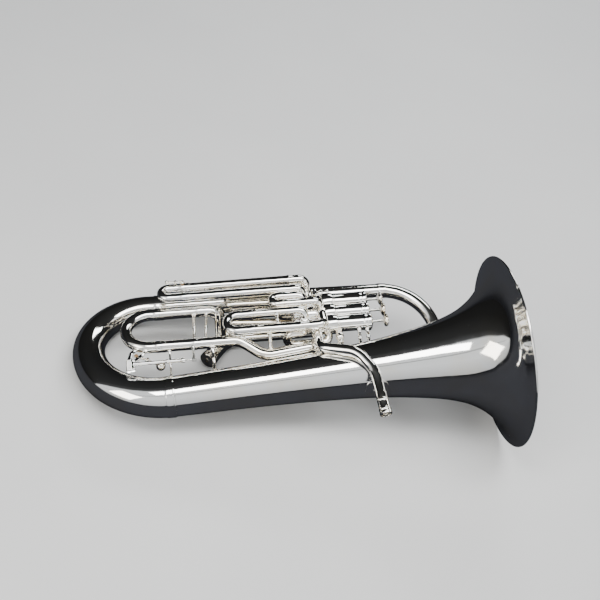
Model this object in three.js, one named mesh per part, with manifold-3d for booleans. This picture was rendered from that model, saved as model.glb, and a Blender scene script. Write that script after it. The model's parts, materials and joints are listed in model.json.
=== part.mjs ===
// A three-plus-one-valve compensating euphonium, lying on its side, in millimetres with +Z up.
//
// The instrument is described in its own frame: x towards the bell mouth, y across the instrument
// from the bell to the back branch, z out of the plane of the main tubing on the side that carries
// the slides. The whole group is then turned into the attitude in which it rests on a flat surface,
// on the bell rim and on two places of the bottom bow.

import * as THREE from 'three';
import { mergeVertices } from 'three/addons/utils/BufferGeometryUtils.js';
import Module from 'manifold-3d';

const wasm = await Module();
wasm.setup();

// ---------------------------------------------------------------- driving dimensions, mm

const BELL_RADIUS = 154;
const BELL_LENGTH = 536;
const BELL_LEAN = 4.3;                 // degrees between the bell's axis and the valves' axes
const BELL_CENTRE_Y = 5.5;
const BELL_WALL = 0.8;
const BELL_TAIL_RADIUS = 32;

const BACK_BRANCH_Y = 184.5;
const BACK_BRANCH_START_X = -545;
const BACK_BRANCH_END_X = -177;
const BACK_BRANCH_RADII = [20.5, 11.9];
const BOW_LEFT_X = -667;               // centre line of the bottom bow at its furthest from the bell
const BOW_UPPER_BEND = 100;
const BOW_RING = 12;                   // length of the bow's end rings
const TOP_BOW_BEND = 88;
const TOP_BOW_SLOPE = 21.5;            // degrees that the top bow's plane dips under the bell
const TOP_BOW_TAIL = 12;
const TOP_BOW_RING = 14;
const BRANCH_TUBE_RADIUS = 9.3;

const TUBE_WALL = 0.6;
const SLIDE_FIT = 0.45;                // radial clearance of a slide's inner leg in its fixed tube
const INNER_LEG_WALL = 0.5;
const GAP = 0.3;                       // clearance between touching pieces
const FERRULE = 0.7;                   // how far a ferrule stands out of its tube

const MAIN_SLIDE = { y: [125, 45.5], z: 35, bendX: -564.5, sleeveX: -549, reach: 58, radius: 9.3 };

const VALVE_PITCH = 29.5;
const VALVE_Y = 100;                   // axis of the second valve
const VALVE_Z = 30;
const VALVE_DROP = 1.3;                // each valve sits this much lower than its neighbour
const VALVE_BOTTOM_X = -325;
const CASING_LENGTH = 111;
const CASING_RADIUS = 13.4;
const CASING_BORE = 11.6;
const CAP_RADIUS = 14.6;
const BALUSTER_RADIUS = 14.4;          // thicker band round each casing, where its tubes enter
const BALUSTER_SPAN = [44, 62];        // distance of that band from the casing's bottom
const PISTON_RADIUS = 11.1;
const PISTON_SPAN = [32, 108];         // distance of the piston's ends from the casing's bottom
const STEM_TOP = 137.2;
const BUTTON_SPAN = [137.5, 143.5];

const FOURTH_VALVE_AXIS = new THREE.Vector3(0.56, 0.83, 0).normalize();
const FOURTH_VALVE_THROUGH = new THREE.Vector3(-450, 127, -42);
const FOURTH_VALVE_CROSSING = 39;      // distance from the casing's bottom to that point

const INTO_CASING = 9;                 // how close a port tube's centre line runs to its casing's axis
const SLIDE_RADIUS = 7.4;
const BIG_SLIDE_RADIUS = 7.6;
const LOOP_RADIUS = 6.4;

// Slides of the four valves: [y, z] of both legs, where the crook's bend and the fixed tubes start,
// how far the inner legs reach into the fixed tubes, and the way in which the slide pulls out.
const SLIDES = {
  first: {
    legs: [[84, 55], [45, 55]],
    bendX: -423,
    sleeveX: -399,
    reach: 55,
    radius: BIG_SLIDE_RADIUS,
    pull: -1,
  },
  second: {
    legs: [[118.5, 58.4], [99.8, 58.4]],
    bendX: -355.5,
    sleeveX: -346,
    reach: 11,
    radius: SLIDE_RADIUS,
    pull: -1,
  },
  third: {
    legs: [[158, 60.4], [133.5, 60.4]],
    bendX: -530.7,
    sleeveX: -503,
    reach: 120,
    radius: SLIDE_RADIUS,
    pull: -1,
  },
  fourth: {
    legs: [[162, -42], [137, -42]],
    bendX: -289,
    sleeveX: -340,
    reach: 60,
    radius: BIG_SLIDE_RADIUS,
    pull: 1,
  },
};
const SLEEVE_RING = [0, 6];            // ferrule at the open end of a slide's fixed tube

const LEADPIPE_RADII = [8.6, 8];
const PLATE_BEHIND_RIM = 221;          // the leadpipe brace's round plate on the bell
const PLATE_RADIUS = 19;

const TRIGGER_ROD = { y: 5.5, z: 38, radius: 1, startX: -499, endX: -585 };
const TRIGGER_BARREL = { x: [-601.3, -594.7], y: [13, -10], radius: 3.7 };
const TRIGGER_SLEEVE_LENGTH = 81;
const SPRING = { span: [-5.2, 31.4], radius: 7.4, wire: 0.9, turns: 4, pointsPerTurn: 7 };

// Attitude at rest, degrees: the main plane's tilt about y, then its roll about x.
const REST_TILT = -10.193;
const REST_ROLL = -6.155;

// ---------------------------------------------------------------- materials

const metal = (color, roughness) => new THREE.MeshStandardMaterial({ color, roughness, metalness: 1 });
const silver = metal(0xe9e6e0, 0.12);
const brightSilver = metal(0xf2efe9, 0.08);
const warmSilver = metal(0xdcd2bb, 0.2);
const nickel = metal(0xb9b6ae, 0.3);
const steel = metal(0x9a9a98, 0.35);

// ---------------------------------------------------------------- routes and tubes

const vec = (x, y, z) => new THREE.Vector3(x, y, z);
const radians = THREE.MathUtils.degToRad;

/** A centre line of straight runs joined by round bends, which carries a frame along it. */
class Route {
  constructor(corners, bends) {
    this.pieces = [];
    this.length = 0;
    this.point = corners[0].clone();
    this.tangent = corners[1].clone().sub(corners[0]).normalize();
    const up = Math.abs(this.tangent.z) < 0.9 ? vec(0, 0, 1) : vec(1, 0, 0);
    this.normal = up.clone().addScaledVector(this.tangent, -up.dot(this.tangent)).normalize();
    for (let i = 1; i < corners.length - 1; i++) {
      const bend = Array.isArray(bends) ? bends[i - 1] : bends;
      this.turn(corners[i], corners[i + 1], bend);
    }
    this.straight(corners.at(-1));
  }

  /** Adds the straight run up to a corner's bend, and then the bend towards the next corner. */
  turn(corner, next, radius) {
    const onward = next.clone().sub(corner).normalize();
    const angle = this.tangent.angleTo(onward);
    if (angle < 1e-4) return;
    this.straight(corner.clone().addScaledVector(this.tangent, -radius * Math.tan(angle / 2)));
    const axis = this.tangent.clone().cross(onward).normalize();
    this.add({ radius, axis, length: radius * angle });
  }

  straight(end) {
    const length = end.clone().sub(this.point).dot(this.tangent);
    if (length > 1e-3) this.add({ length });
  }

  add(piece) {
    Object.assign(piece, {
      start: this.length,
      point: this.point.clone(),
      tangent: this.tangent.clone(),
      normal: this.normal.clone(),
    });
    this.pieces.push(piece);
    this.length += piece.length;
    const end = this.at(this.length);
    this.point = end.point;
    this.tangent = end.tangent;
    this.normal = end.normal;
  }

  /** The point and the frame at a distance along the route. */
  at(distance) {
    const piece = this.pieces.findLast((p) => p.start <= distance + 1e-6) ?? this.pieces[0];
    const along = distance - piece.start;
    const { point, tangent, normal } = piece;
    if (!piece.axis) {
      return { point: point.clone().addScaledVector(tangent, along), tangent, normal };
    }
    const angle = along / piece.radius;
    const inward = piece.axis.clone().cross(tangent);
    return {
      point: point.clone()
        .addScaledVector(tangent, piece.radius * Math.sin(angle))
        .addScaledVector(inward, piece.radius * (1 - Math.cos(angle))),
      tangent: tangent.clone().applyAxisAngle(piece.axis, angle),
      normal: normal.clone().applyAxisAngle(piece.axis, angle),
    };
  }

  /** Distances at which a tube needs a ring: the ends of every piece and steps round its bend. */
  stations(step) {
    const found = [0];
    for (const piece of this.pieces) {
      const count = piece.axis ? Math.ceil(piece.length / piece.radius / radians(step)) : 1;
      for (let i = 1; i <= count; i++) found.push(piece.start + (piece.length * i) / count);
    }
    return found;
  }
}

/** Radius outline along a tube: [distance, radius] pairs, with the route's rings added between. */
function outline(breaks, stations) {
  const points = [];
  breaks.forEach(([distance, radius], i) => {
    points.push(new THREE.Vector2(radius, distance));
    const following = breaks[i + 1];
    if (!following) return;
    const [nextDistance, nextRadius] = following;
    for (const station of stations) {
      if (station < distance + 0.5 || station > nextDistance - 0.5) continue;
      const share = (station - distance) / (nextDistance - distance);
      points.push(new THREE.Vector2(radius + (nextRadius - radius) * share, station));
    }
  });
  return points;
}

/** Bends a lathe turned about y so that its y axis follows a route. */
function bendAlong(geometry, route) {
  const position = geometry.attributes.position;
  for (let i = 0; i < position.count; i++) {
    const { point, tangent, normal } = route.at(position.getY(i));
    const side = tangent.clone().cross(normal);
    point.addScaledVector(side, position.getX(i)).addScaledVector(normal, position.getZ(i));
    position.setXYZ(i, point.x, point.y, point.z);
  }
  return geometry;
}

/** An open tube along a route, with stepped or tapered walls. */
function tube(route, outer, { sides = 8, step = 24, wall = TUBE_WALL, inner = null } = {}) {
  const stations = route.stations(step);
  const bore = inner ?? outer.map(([distance, radius]) => [distance, radius - wall]);
  const outside = outline(outer, stations);
  const inside = outline(bore, stations).reverse();
  const profile = [...outside, ...inside, outside[0].clone()];
  return bendAlong(new THREE.LatheGeometry(profile, sides), route);
}

/** A plain tube of one radius, with a raised ferrule over each given stretch of its length. */
function plainTube(route, radius, { ferrules = [], ...options } = {}) {
  const end = route.length;
  const raised = radius + FERRULE;
  const outer = [];
  if (ferrules[0]?.[0] !== 0) outer.push([0, radius]);
  for (const [from, to] of ferrules) {
    if (from > 0) outer.push([from, radius]);
    outer.push([from, raised], [to, raised]);
    if (to < end) outer.push([to, radius]);
  }
  if (ferrules.at(-1)?.[1] !== end) outer.push([end, radius]);
  const bore = radius - TUBE_WALL;
  return tube(route, outer, { ...options, inner: [[0, bore], [end, bore]] });
}

/** A body of revolution from [distance, radius] pairs that close on themselves or on the axis. */
function turned(profile, sides = 16) {
  return new THREE.LatheGeometry(profile.map(([y, r]) => new THREE.Vector2(r, y)), sides);
}

/** Moves geometry turned about y so that its y axis runs from a point along a direction. */
function aim(geometry, origin, direction) {
  const turn = new THREE.Quaternion().setFromUnitVectors(vec(0, 1, 0), direction.clone().normalize());
  return geometry.applyQuaternion(turn).translate(origin.x, origin.y, origin.z);
}

// ---------------------------------------------------------------- solids for joins and cuts

function solid(geometry) {
  const bare = geometry.clone();
  bare.deleteAttribute('normal');
  bare.deleteAttribute('uv');
  const merged = mergeVertices(bare, 1e-4);
  return new wasm.Manifold(new wasm.Mesh({
    numProp: 3,
    vertProperties: new Float32Array(merged.attributes.position.array),
    triVerts: new Uint32Array(merged.index.array),
  }));
}

function geometryOf(manifold) {
  const mesh = manifold.getMesh();
  const geometry = new THREE.BufferGeometry();
  geometry.setAttribute('position', new THREE.BufferAttribute(mesh.vertProperties, 3));
  geometry.setIndex(new THREE.BufferAttribute(mesh.triVerts, 1));
  geometry.computeVertexNormals();
  return geometry;
}

const joined = (...geometries) => geometryOf(geometries.map(solid).reduce((a, b) => a.add(b)));
const cut = (geometry, cutter) => geometryOf(solid(geometry).subtract(solid(cutter)));

/** A rod between two points. */
function rod(from, to, radius, sides = 8) {
  const axis = to.clone().sub(from);
  const length = axis.length();
  return aim(turned([[0, 0], [0, radius], [length, radius], [length, 0]], sides), from, axis);
}

// ---------------------------------------------------------------- the assembly

const instrument = new THREE.Group();

function place(name, geometry, material = silver, parent = instrument) {
  const mesh = new THREE.Mesh(geometry, material);
  mesh.name = name;
  parent.add(mesh);
  return mesh;
}

// ---------------------------------------------------------------- bell and main branches

const bellLean = radians(BELL_LEAN);
const bellward = vec(Math.cos(bellLean), Math.sin(bellLean), 0);
const onBellAxis = (behindRim) => vec(0, BELL_CENTRE_Y, 0).addScaledVector(bellward, -behindRim);

/** Bell radius at distances behind the rim: a flare, then a long gentle cone. */
const BELL_OUTLINE = [
  [0, BELL_RADIUS], [3, 146], [9, 131], [17, 118], [28, 105], [45, 90], [70, 75.5], [105, 64],
  [150, 55], [210, 46.6], [300, 39.7], [420, 34.4], [BELL_LENGTH, BELL_TAIL_RADIUS],
];

function bellRadiusAt(behindRim) {
  const next = BELL_OUTLINE.findIndex(([distance]) => distance >= behindRim);
  const [start, startRadius] = BELL_OUTLINE[next - 1];
  const [end, endRadius] = BELL_OUTLINE[next];
  return startRadius + ((endRadius - startRadius) * (behindRim - start)) / (end - start);
}

function bellGeometry() {
  const outside = BELL_OUTLINE.map(([d, r]) => [BELL_LENGTH - d, r]).reverse();
  const rim = [[BELL_LENGTH + 1.6, BELL_RADIUS + 1.4], [BELL_LENGTH + 3.4, BELL_RADIUS - 0.6]];
  const inside = BELL_OUTLINE.slice(1).map(([d, r]) => [BELL_LENGTH - d + BELL_WALL, r - BELL_WALL]);
  inside[inside.length - 1][0] = 0;
  const profile = [...outside, ...rim, ...inside, outside[0]];
  return aim(turned(profile, 32), onBellAxis(BELL_LENGTH), bellward);
}

/** The bell as a solid a little larger than its outside, for cutting what is fitted to it. */
function bellEnvelope() {
  const outside = BELL_OUTLINE.map(([d, r]) => [BELL_LENGTH - d, r + GAP]).reverse();
  const profile = [[0, 0], ...outside, [BELL_LENGTH, 0]];
  return aim(turned(profile, 32), onBellAxis(BELL_LENGTH), bellward);
}

const bellTail = onBellAxis(BELL_LENGTH + GAP);
const bowLowerCorner = bellTail.clone()
  .addScaledVector(bellward, (BOW_LEFT_X - bellTail.x) / bellward.x);
const bowLowerBend = (BACK_BRANCH_Y - bowLowerCorner.y - BOW_UPPER_BEND)
  / Math.tan(radians(90 + BELL_LEAN) / 2);
const bowUpperCorner = vec(BOW_LEFT_X, BACK_BRANCH_Y, 0);
const bowRoute = new Route(
  [bellTail, bowLowerCorner, bowUpperCorner, vec(BACK_BRANCH_START_X, BACK_BRANCH_Y, 0)],
  [bowLowerBend, BOW_UPPER_BEND],
);

function bottomBow() {
  const end = bowRoute.length;
  const [tail] = BACK_BRANCH_RADII;
  return tube(bowRoute, [
    [0, BELL_TAIL_RADIUS + FERRULE], [BOW_RING, BELL_TAIL_RADIUS + FERRULE], [BOW_RING, BELL_TAIL_RADIUS],
    [end - BOW_RING, tail], [end - BOW_RING, tail + FERRULE], [end, tail + FERRULE],
  ], {
    sides: 14, step: 16, inner: [[0, BELL_TAIL_RADIUS - BELL_WALL], [end, tail - BELL_WALL]],
  });
}

const backBranchRoute = new Route([
  vec(BACK_BRANCH_START_X + GAP, BACK_BRANCH_Y, 0),
  vec(BACK_BRANCH_END_X - GAP, BACK_BRANCH_Y, 0),
], 0);

function backBranch() {
  const end = backBranchRoute.length;
  const [wide, narrow] = BACK_BRANCH_RADII;
  return tube(backBranchRoute, [[0, wide], [end, narrow]], { sides: 14, wall: BELL_WALL });
}

const topBowDip = radians(TOP_BOW_SLOPE);
const topBowAcross = vec(0, -Math.cos(topBowDip), -Math.sin(topBowDip));
const topBowStart = vec(BACK_BRANCH_END_X, BACK_BRANCH_Y, 0);
const topBowReturn = topBowStart.clone().addScaledVector(topBowAcross, 2 * TOP_BOW_BEND);
const topBowRoute = new Route([
  topBowStart,
  topBowStart.clone().add(vec(TOP_BOW_BEND, 0, 0)),
  topBowReturn.clone().add(vec(TOP_BOW_BEND, 0, 0)),
  topBowReturn.clone().add(vec(-TOP_BOW_TAIL, 0, 0)),
], TOP_BOW_BEND);

function topBow() {
  const end = topBowRoute.length;
  const start = BACK_BRANCH_RADII[1];
  const tail = BRANCH_TUBE_RADIUS;
  return tube(topBowRoute, [
    [0, start + FERRULE], [TOP_BOW_RING, start + FERRULE], [TOP_BOW_RING, start],
    [end - TOP_BOW_RING, tail], [end - TOP_BOW_RING, tail + FERRULE], [end, tail + FERRULE],
  ], { sides: 10, step: 18, inner: [[0, start - TUBE_WALL], [end, tail - TUBE_WALL]] });
}

/** From the main slide's lower leg, along the bell, and under it to the top bow. */
const branchTubeRoute = new Route([
  vec(MAIN_SLIDE.sleeveX, MAIN_SLIDE.y[1], MAIN_SLIDE.z),
  vec(-424, MAIN_SLIDE.y[1], MAIN_SLIDE.z),
  vec(-386, 18, 22),
  vec(-300, 31, 22.5),
  vec(-262, 45, -22),
  vec(-222, topBowReturn.y, topBowReturn.z),
  vec(topBowReturn.x - TOP_BOW_TAIL - GAP, topBowReturn.y, topBowReturn.z),
], [32, 32, 30, 30, 30]);

function branchTube() {
  const end = branchTubeRoute.length;
  return plainTube(branchTubeRoute, BRANCH_TUBE_RADIUS, {
    ferrules: [[0, 7], [52, 57], [end - 4, end]], sides: 12, step: 24,
  });
}

place('bell', bellGeometry(), brightSilver);
place('bottom_bow', bottomBow(), brightSilver);
place('back_branch', backBranch());
place('top_bow', topBow());
place('branch_tube', branchTube());

// ---------------------------------------------------------------- tuning slides

/**
 * A U-shaped slide: a crook with two inner legs that run inside fixed tubes. The crook bulges
 * away from the valves, along -x, or along +x where pull is +1.
 */
function slideCrook({ legs, bendX, sleeveX, reach, radius, pull }, sides = 8) {
  const at = ([y, z], x) => vec(x, y, z);
  const [first, second] = legs;
  const bend = at(first, 0).distanceTo(at(second, 0)) / 2;
  const innerEnd = sleeveX - pull * reach;
  const cornerX = bendX + pull * bend;
  const route = new Route(
    [at(first, innerEnd), at(first, cornerX), at(second, cornerX), at(second, innerEnd)], bend - 0.001);
  const shoulder = reach + GAP;
  const leg = radius - TUBE_WALL - SLIDE_FIT;
  const end = route.length;
  return tube(route, [
    [0, leg], [shoulder, leg], [shoulder, radius],
    [end - shoulder, radius], [end - shoulder, leg], [end, leg],
  ], { sides, step: 30, inner: [[0, leg - INNER_LEG_WALL], [end, leg - INNER_LEG_WALL]] });
}

const mainLegs = MAIN_SLIDE.y.map((y) => [y, MAIN_SLIDE.z]);
place('main_slide_crook', slideCrook({ ...MAIN_SLIDE, legs: mainLegs, pull: -1 }, 12), brightSilver);

/** An envelope a little larger than a valve casing, for cutting tubes that end on it. */
function casingEnvelope(valve) {
  const radius = CASING_RADIUS + GAP;
  const [low, high] = [BALUSTER_SPAN[0] - GAP, BALUSTER_SPAN[1] + GAP];
  return aim(turned([
    [0, 0], [0, radius], [low, radius], [low, BALUSTER_RADIUS + GAP], [high, BALUSTER_RADIUS + GAP],
    [high, radius], [CASING_LENGTH, radius], [CASING_LENGTH, 0],
  ], 20), valve.bottom, valve.axis);
}

const valveAxis = vec(1, 0, 0);
const topValves = [-1, 0, 1].map((i) => ({
  number: i + 2,
  bottom: vec(VALVE_BOTTOM_X, VALVE_Y + i * VALVE_PITCH, VALVE_Z - i * VALVE_DROP),
  axis: valveAxis,
}));
const fourthValve = {
  number: 4,
  bottom: FOURTH_VALVE_THROUGH.clone().addScaledVector(FOURTH_VALVE_AXIS, -FOURTH_VALVE_CROSSING),
  axis: FOURTH_VALVE_AXIS,
};
const valves = [...topValves, fourthValve];
const [valve1, valve2, valve3] = topValves;

/** A tube whose last end is shaped to a valve casing. */
function portTube(route, radius, valve, options) {
  return cut(plainTube(route, radius, options), casingEnvelope(valve));
}

/** A point at a distance from a valve's axis, on the line towards another point. */
function besideValve(valve, x, towards, distance) {
  const centre = vec(x, valve.bottom.y, valve.bottom.z);
  const away = vec(0, towards.y - centre.y, towards.z - centre.z).normalize();
  return centre.addScaledVector(away, distance);
}

const mainUpperRoute = new Route([
  vec(MAIN_SLIDE.sleeveX, MAIN_SLIDE.y[0], MAIN_SLIDE.z),
  vec(FOURTH_VALVE_THROUGH.x, MAIN_SLIDE.y[0], MAIN_SLIDE.z),
  vec(FOURTH_VALVE_THROUGH.x, FOURTH_VALVE_THROUGH.y, FOURTH_VALVE_THROUGH.z + INTO_CASING),
], 24);
place('main_slide_upper_tube', portTube(mainUpperRoute, MAIN_SLIDE.radius, fourthValve,
  { ferrules: [[0, 7], [62, 67]], sides: 12 }));

/** A fixed tube that runs along a slide's leg and turns down onto its valve. */
function radialTube({ legs, sleeveX, radius }, leg, cornerX, valve, bend) {
  const [y, z] = legs[leg];
  const route = new Route([
    vec(sleeveX, y, z),
    vec(cornerX, y, z),
    besideValve(valve, cornerX, vec(0, y, z), INTO_CASING),
  ], bend);
  return portTube(route, radius, valve, { ferrules: [SLEEVE_RING] });
}

const { first, second, third, fourth } = SLIDES;

/** The first slide's lower tube crosses over to its valve beyond the leadpipe. */
function firstLowerTube() {
  const [y, z] = first.legs[1];
  const turnX = -288;
  const portY = 77.5;
  const route = new Route([
    vec(first.sleeveX, y, z),
    vec(turnX, y, z),
    vec(turnX, portY, z),
    vec(turnX, portY, VALVE_Z + INTO_CASING),
  ], 11.3);
  return portTube(route, first.radius, valve1, { ferrules: [SLEEVE_RING, [70, 75]] });
}

/** The third slide's upper tube comes down beside its valve and turns into it. */
function thirdUpperTube() {
  const [y, z] = third.legs[0];
  const turnX = -304.5;
  const route = new Route([
    vec(third.sleeveX, y, z),
    vec(turnX, y, z),
    vec(turnX, y, valve3.bottom.z),
    vec(turnX, valve3.bottom.y + INTO_CASING, valve3.bottom.z),
  ], 13);
  return portTube(route, third.radius, valve3, { ferrules: [SLEEVE_RING, [168, 172]] });
}

/** A fixed tube of the fourth slide, straight into the slanted fourth valve. */
function fourthTube([y, z]) {
  const onAxis = fourthValve.bottom.x
    + ((y - fourthValve.bottom.y) / FOURTH_VALVE_AXIS.y) * FOURTH_VALVE_AXIS.x;
  const route = new Route([vec(fourth.sleeveX, y, z), vec(onAxis + INTO_CASING, y, z)], 0);
  return portTube(route, fourth.radius, fourthValve, { ferrules: [SLEEVE_RING] });
}

place('slide_1_crook', slideCrook(first), brightSilver);
place('slide_1_upper_tube', radialTube(first, 0, -316, valve1, 10));
place('slide_1_lower_tube', firstLowerTube());
place('slide_2_crook', slideCrook(second), brightSilver);
place('slide_2_upper_tube', radialTube(second, 0, -314.5, valve2, 10.5));
place('slide_2_lower_tube', radialTube(second, 1, -289, valve2, 10.5));
place('slide_3_crook', slideCrook(third), brightSilver);
place('slide_3_lower_tube', radialTube(third, 1, -313, valve3, 12.5));
place('slide_3_upper_tube', thirdUpperTube());
place('slide_4_crook', slideCrook(fourth), brightSilver);
place('slide_4_upper_tube', fourthTube(fourth.legs[0]));
place('slide_4_lower_tube', fourthTube(fourth.legs[1]));

// ---------------------------------------------------------------- tubes between valves

/** From the third valve's underside to the fourth valve. */
const LINK_Z = -14;
const LINK_END = [-436.5, 147];
const linkRoute = new Route([
  vec(-272, valve3.bottom.y, valve3.bottom.z - INTO_CASING),
  vec(-272, valve3.bottom.y, LINK_Z),
  vec(...LINK_END, LINK_Z),
  vec(...LINK_END, fourthValve.bottom.z + INTO_CASING),
], 11);
place('valve_link_tube', cut(
  portTube(linkRoute, SLIDE_RADIUS, fourthValve), casingEnvelope(valve3)), warmSilver);

/** Compensating loop of the third valve, between its slide and the main tubing. */
const thirdLoopRoute = new Route([
  besideValve(valve3, -318.7, vec(0, 154.5, 33), INTO_CASING),
  vec(-318.7, 156, 34),
  vec(-436, 154.5, 36),
  vec(-436, 134.5, 36),
  vec(-352, 134.5, 34),
  vec(-352, 134.5, 2),
  vec(-300, 131, 2),
  vec(-300, 129.5, valve3.bottom.z - INTO_CASING),
], [10, 9.9, 9.9, 11, 11, 10.5]);
place('compensating_loop_3', portTube(thirdLoopRoute, LOOP_RADIUS, valve3, { step: 30 }), warmSilver);

/** Compensating loop of the first valve: a curl beside it, below its slide. */
const firstLoopRoute = new Route([
  besideValve(valve1, -318, vec(0, 47, 39.5), INTO_CASING),
  vec(-318, 47, 39.5),
  vec(-347.6, 47, 39.5),
  vec(-347.6, 50, 12.5),
  vec(-278, 50, 12.5),
  besideValve(valve1, -278, vec(0, 50, 12.5), INTO_CASING),
], [10, 12.9, 12.9, 10]);
place('compensating_loop_1', portTube(firstLoopRoute, LOOP_RADIUS, valve1, { step: 30 }), warmSilver);

// ---------------------------------------------------------------- leadpipe

const leadpipeRoute = new Route([
  vec(-300, valve1.bottom.y - INTO_CASING, 35),
  vec(-300, 2, 45),
  vec(-246, -27, 57),
  vec(-223.5, -62, 46),
  vec(-219, -107, 27.5),
], [19, 44, 60]);
const leadpipeEnd = leadpipeRoute.at(leadpipeRoute.length);

function leadpipe() {
  const [start, end] = LEADPIPE_RADII;
  const outer = [[0, start], [leadpipeRoute.length, end]];
  return cut(tube(leadpipeRoute, outer, { sides: 10, step: 16 }), casingEnvelope(valve1));
}

/** The socket for the mouthpiece: a sleeve with a thicker end and a tapered bore. */
function mouthpieceReceiver() {
  const outside = [[0, 8.2], [4, 8.7], [17, 8.9], [17, 9.6], [26, 9.6], [27, 9.1]];
  const bore = [[27, 7.1], [0, 6.6]];
  const start = leadpipeEnd.point.clone().addScaledVector(leadpipeEnd.tangent, GAP);
  return aim(turned([...outside, ...bore, outside[0]], 12), start, leadpipeEnd.tangent);
}

/** A round plate fitted to the bell's side, with a post that carries the leadpipe. */
function leadpipeBrace() {
  const postRadius = 4;
  const sink = 8;
  const rise = 2;
  const bellSurface = onBellAxis(PLATE_BEHIND_RIM).add(vec(0, -bellRadiusAt(PLATE_BEHIND_RIM), 0));
  const pipe = leadpipeRoute.at(leadpipeRoute.length - 24).point;
  const outward = pipe.clone().sub(bellSurface).normalize();
  const besidePipe = pipe.clone().addScaledVector(outward, -LEADPIPE_RADII[0] - 1.4);
  const inner = bellSurface.clone().add(vec(0, sink, 0));
  const outer = bellSurface.clone().add(vec(0, -rise, 0));
  const plate = rod(inner, outer, PLATE_RADIUS, 20);
  return cut(joined(plate, rod(bellSurface, besidePipe, postRadius)), bellEnvelope());
}

place('leadpipe', leadpipe(), brightSilver);
place('mouthpiece_receiver', mouthpieceReceiver(), brightSilver);
place('leadpipe_brace', leadpipeBrace());

// ---------------------------------------------------------------- valves

const casingProfile = [
  [0, CASING_RADIUS], [BALUSTER_SPAN[0], CASING_RADIUS], [BALUSTER_SPAN[0], BALUSTER_RADIUS],
  [BALUSTER_SPAN[1], BALUSTER_RADIUS], [BALUSTER_SPAN[1], CASING_RADIUS],
  [CASING_LENGTH, CASING_RADIUS], [CASING_LENGTH, CASING_BORE], [0, CASING_BORE], [0, CASING_RADIUS],
];
const topCapProfile = [
  [0, 3.4], [0, CAP_RADIUS], [6, CAP_RADIUS], [8, 12], [8, 6], [9.3, 5.4], [9.3, 3.4], [0, 3.4],
];
const BOTTOM_CAP_HEIGHT = 9;
const bottomCapProfile = [
  [0, 2], [1.5, 10], [1.5, 12.6], [2.6, CAP_RADIUS], [BOTTOM_CAP_HEIGHT, CAP_RADIUS],
  [BOTTOM_CAP_HEIGHT, CASING_BORE], [3.2, 10.6], [3.2, 2], [0, 2],
];
const pistonProfile = [
  [0, PISTON_RADIUS], [76, PISTON_RADIUS], [76, 2.4], [STEM_TOP - PISTON_SPAN[0], 2.4],
  [STEM_TOP - PISTON_SPAN[0], 0], [72, 0], [72, 9.9], [0, 9.9], [0, PISTON_RADIUS],
];
const buttonProfile = [[0, 0], [0, 3.2], [1.6, 4], [2.6, 9.4], [4, 9.8], [5.4, 8.6], [6, 0]];

/** A short coil spring, as one swept helix of square section. */
function springGeometry({ span, radius, wire, turns, pointsPerTurn }) {
  const length = span[1] - span[0];
  const steps = turns * pointsPerTurn;
  const points = Array.from({ length: steps + 1 }, (_, i) => {
    const angle = (i / pointsPerTurn) * 2 * Math.PI;
    const rise = wire + ((length - 2 * wire) * i) / steps;
    return vec(radius * Math.cos(angle), rise, radius * Math.sin(angle));
  });
  const half = wire * Math.SQRT1_2;
  const corners = [[half, half], [-half, half], [-half, -half], [half, -half]];
  const section = new THREE.Shape(corners.map(([x, y]) => new THREE.Vector2(x, y)));
  const extrudePath = new THREE.CatmullRomCurve3(points);
  return new THREE.ExtrudeGeometry(section, { steps, extrudePath, bevelEnabled: false });
}

function buildValve({ number, bottom, axis }) {
  const along = (distance) => bottom.clone().addScaledVector(axis, distance);
  const set = (name, geometry, distance, material) => {
    const mesh = place(`${name}_${number}`, geometry, material);
    mesh.position.copy(along(distance));
    mesh.quaternion.setFromUnitVectors(vec(0, 1, 0), axis);
  };
  set('valve_casing', turned(casingProfile, 18), 0, brightSilver);
  set('top_cap', turned(topCapProfile, 14), CASING_LENGTH + GAP, brightSilver);
  set('bottom_cap', turned(bottomCapProfile, 14), -BOTTOM_CAP_HEIGHT - GAP, silver);
  set('piston', turned(pistonProfile, 14), PISTON_SPAN[0], nickel);
  set('finger_button', turned(buttonProfile, 12), BUTTON_SPAN[0], brightSilver);
  set('piston_spring', springGeometry(SPRING), SPRING.span[0], steel);
}

valves.forEach(buildValve);

// ---------------------------------------------------------------- braces

/** A waisted post between two tubes, from one centre to the other, clear of both surfaces. */
function brace([from, fromRadius], [to, toRadius], foot = 4.5, waist = 2.4) {
  const axis = to.clone().sub(from);
  const length = axis.length() - fromRadius - toRadius - 2 * GAP;
  const start = from.clone().addScaledVector(axis.normalize(), fromRadius + GAP);
  const shoulder = 1.4;
  const neck = 5;
  const profile = [
    [0, 0], [0, foot], [shoulder, foot * 0.8], [neck, waist], [length - neck, waist],
    [length - shoulder, foot * 0.8], [length, foot], [length, 0],
  ];
  return aim(turned(profile, 10), start, axis);
}

/** A place on a part's centre line, with the radius that a brace has to clear there. */
const onMainUpper = (x) => [vec(x, MAIN_SLIDE.y[0], MAIN_SLIDE.z), MAIN_SLIDE.radius];
const onMainLower = (x) => [vec(x, MAIN_SLIDE.y[1], MAIN_SLIDE.z), MAIN_SLIDE.radius + FERRULE];
const onBell = (x) => {
  const behindRim = -x / bellward.x;
  return [onBellAxis(behindRim), bellRadiusAt(Math.min(behindRim, BELL_LENGTH)) + 1];
};
const onBranchTube = (x) => [vec(x, 19.4, 22.2), BRANCH_TUBE_RADIUS + FERRULE];
const onFirstSlide = (x) => [vec(x, ...SLIDES.first.legs[1]), BIG_SLIDE_RADIUS];
const onThirdSlide = (x) => [vec(x, ...SLIDES.third.legs[0]), SLIDE_RADIUS];
const onFirstCasing = (x) => [vec(x, valve1.bottom.y, valve1.bottom.z), CASING_RADIUS];
const onBackBranch = (x) => [vec(x, BACK_BRANCH_Y, 0), 17.7];

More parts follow.
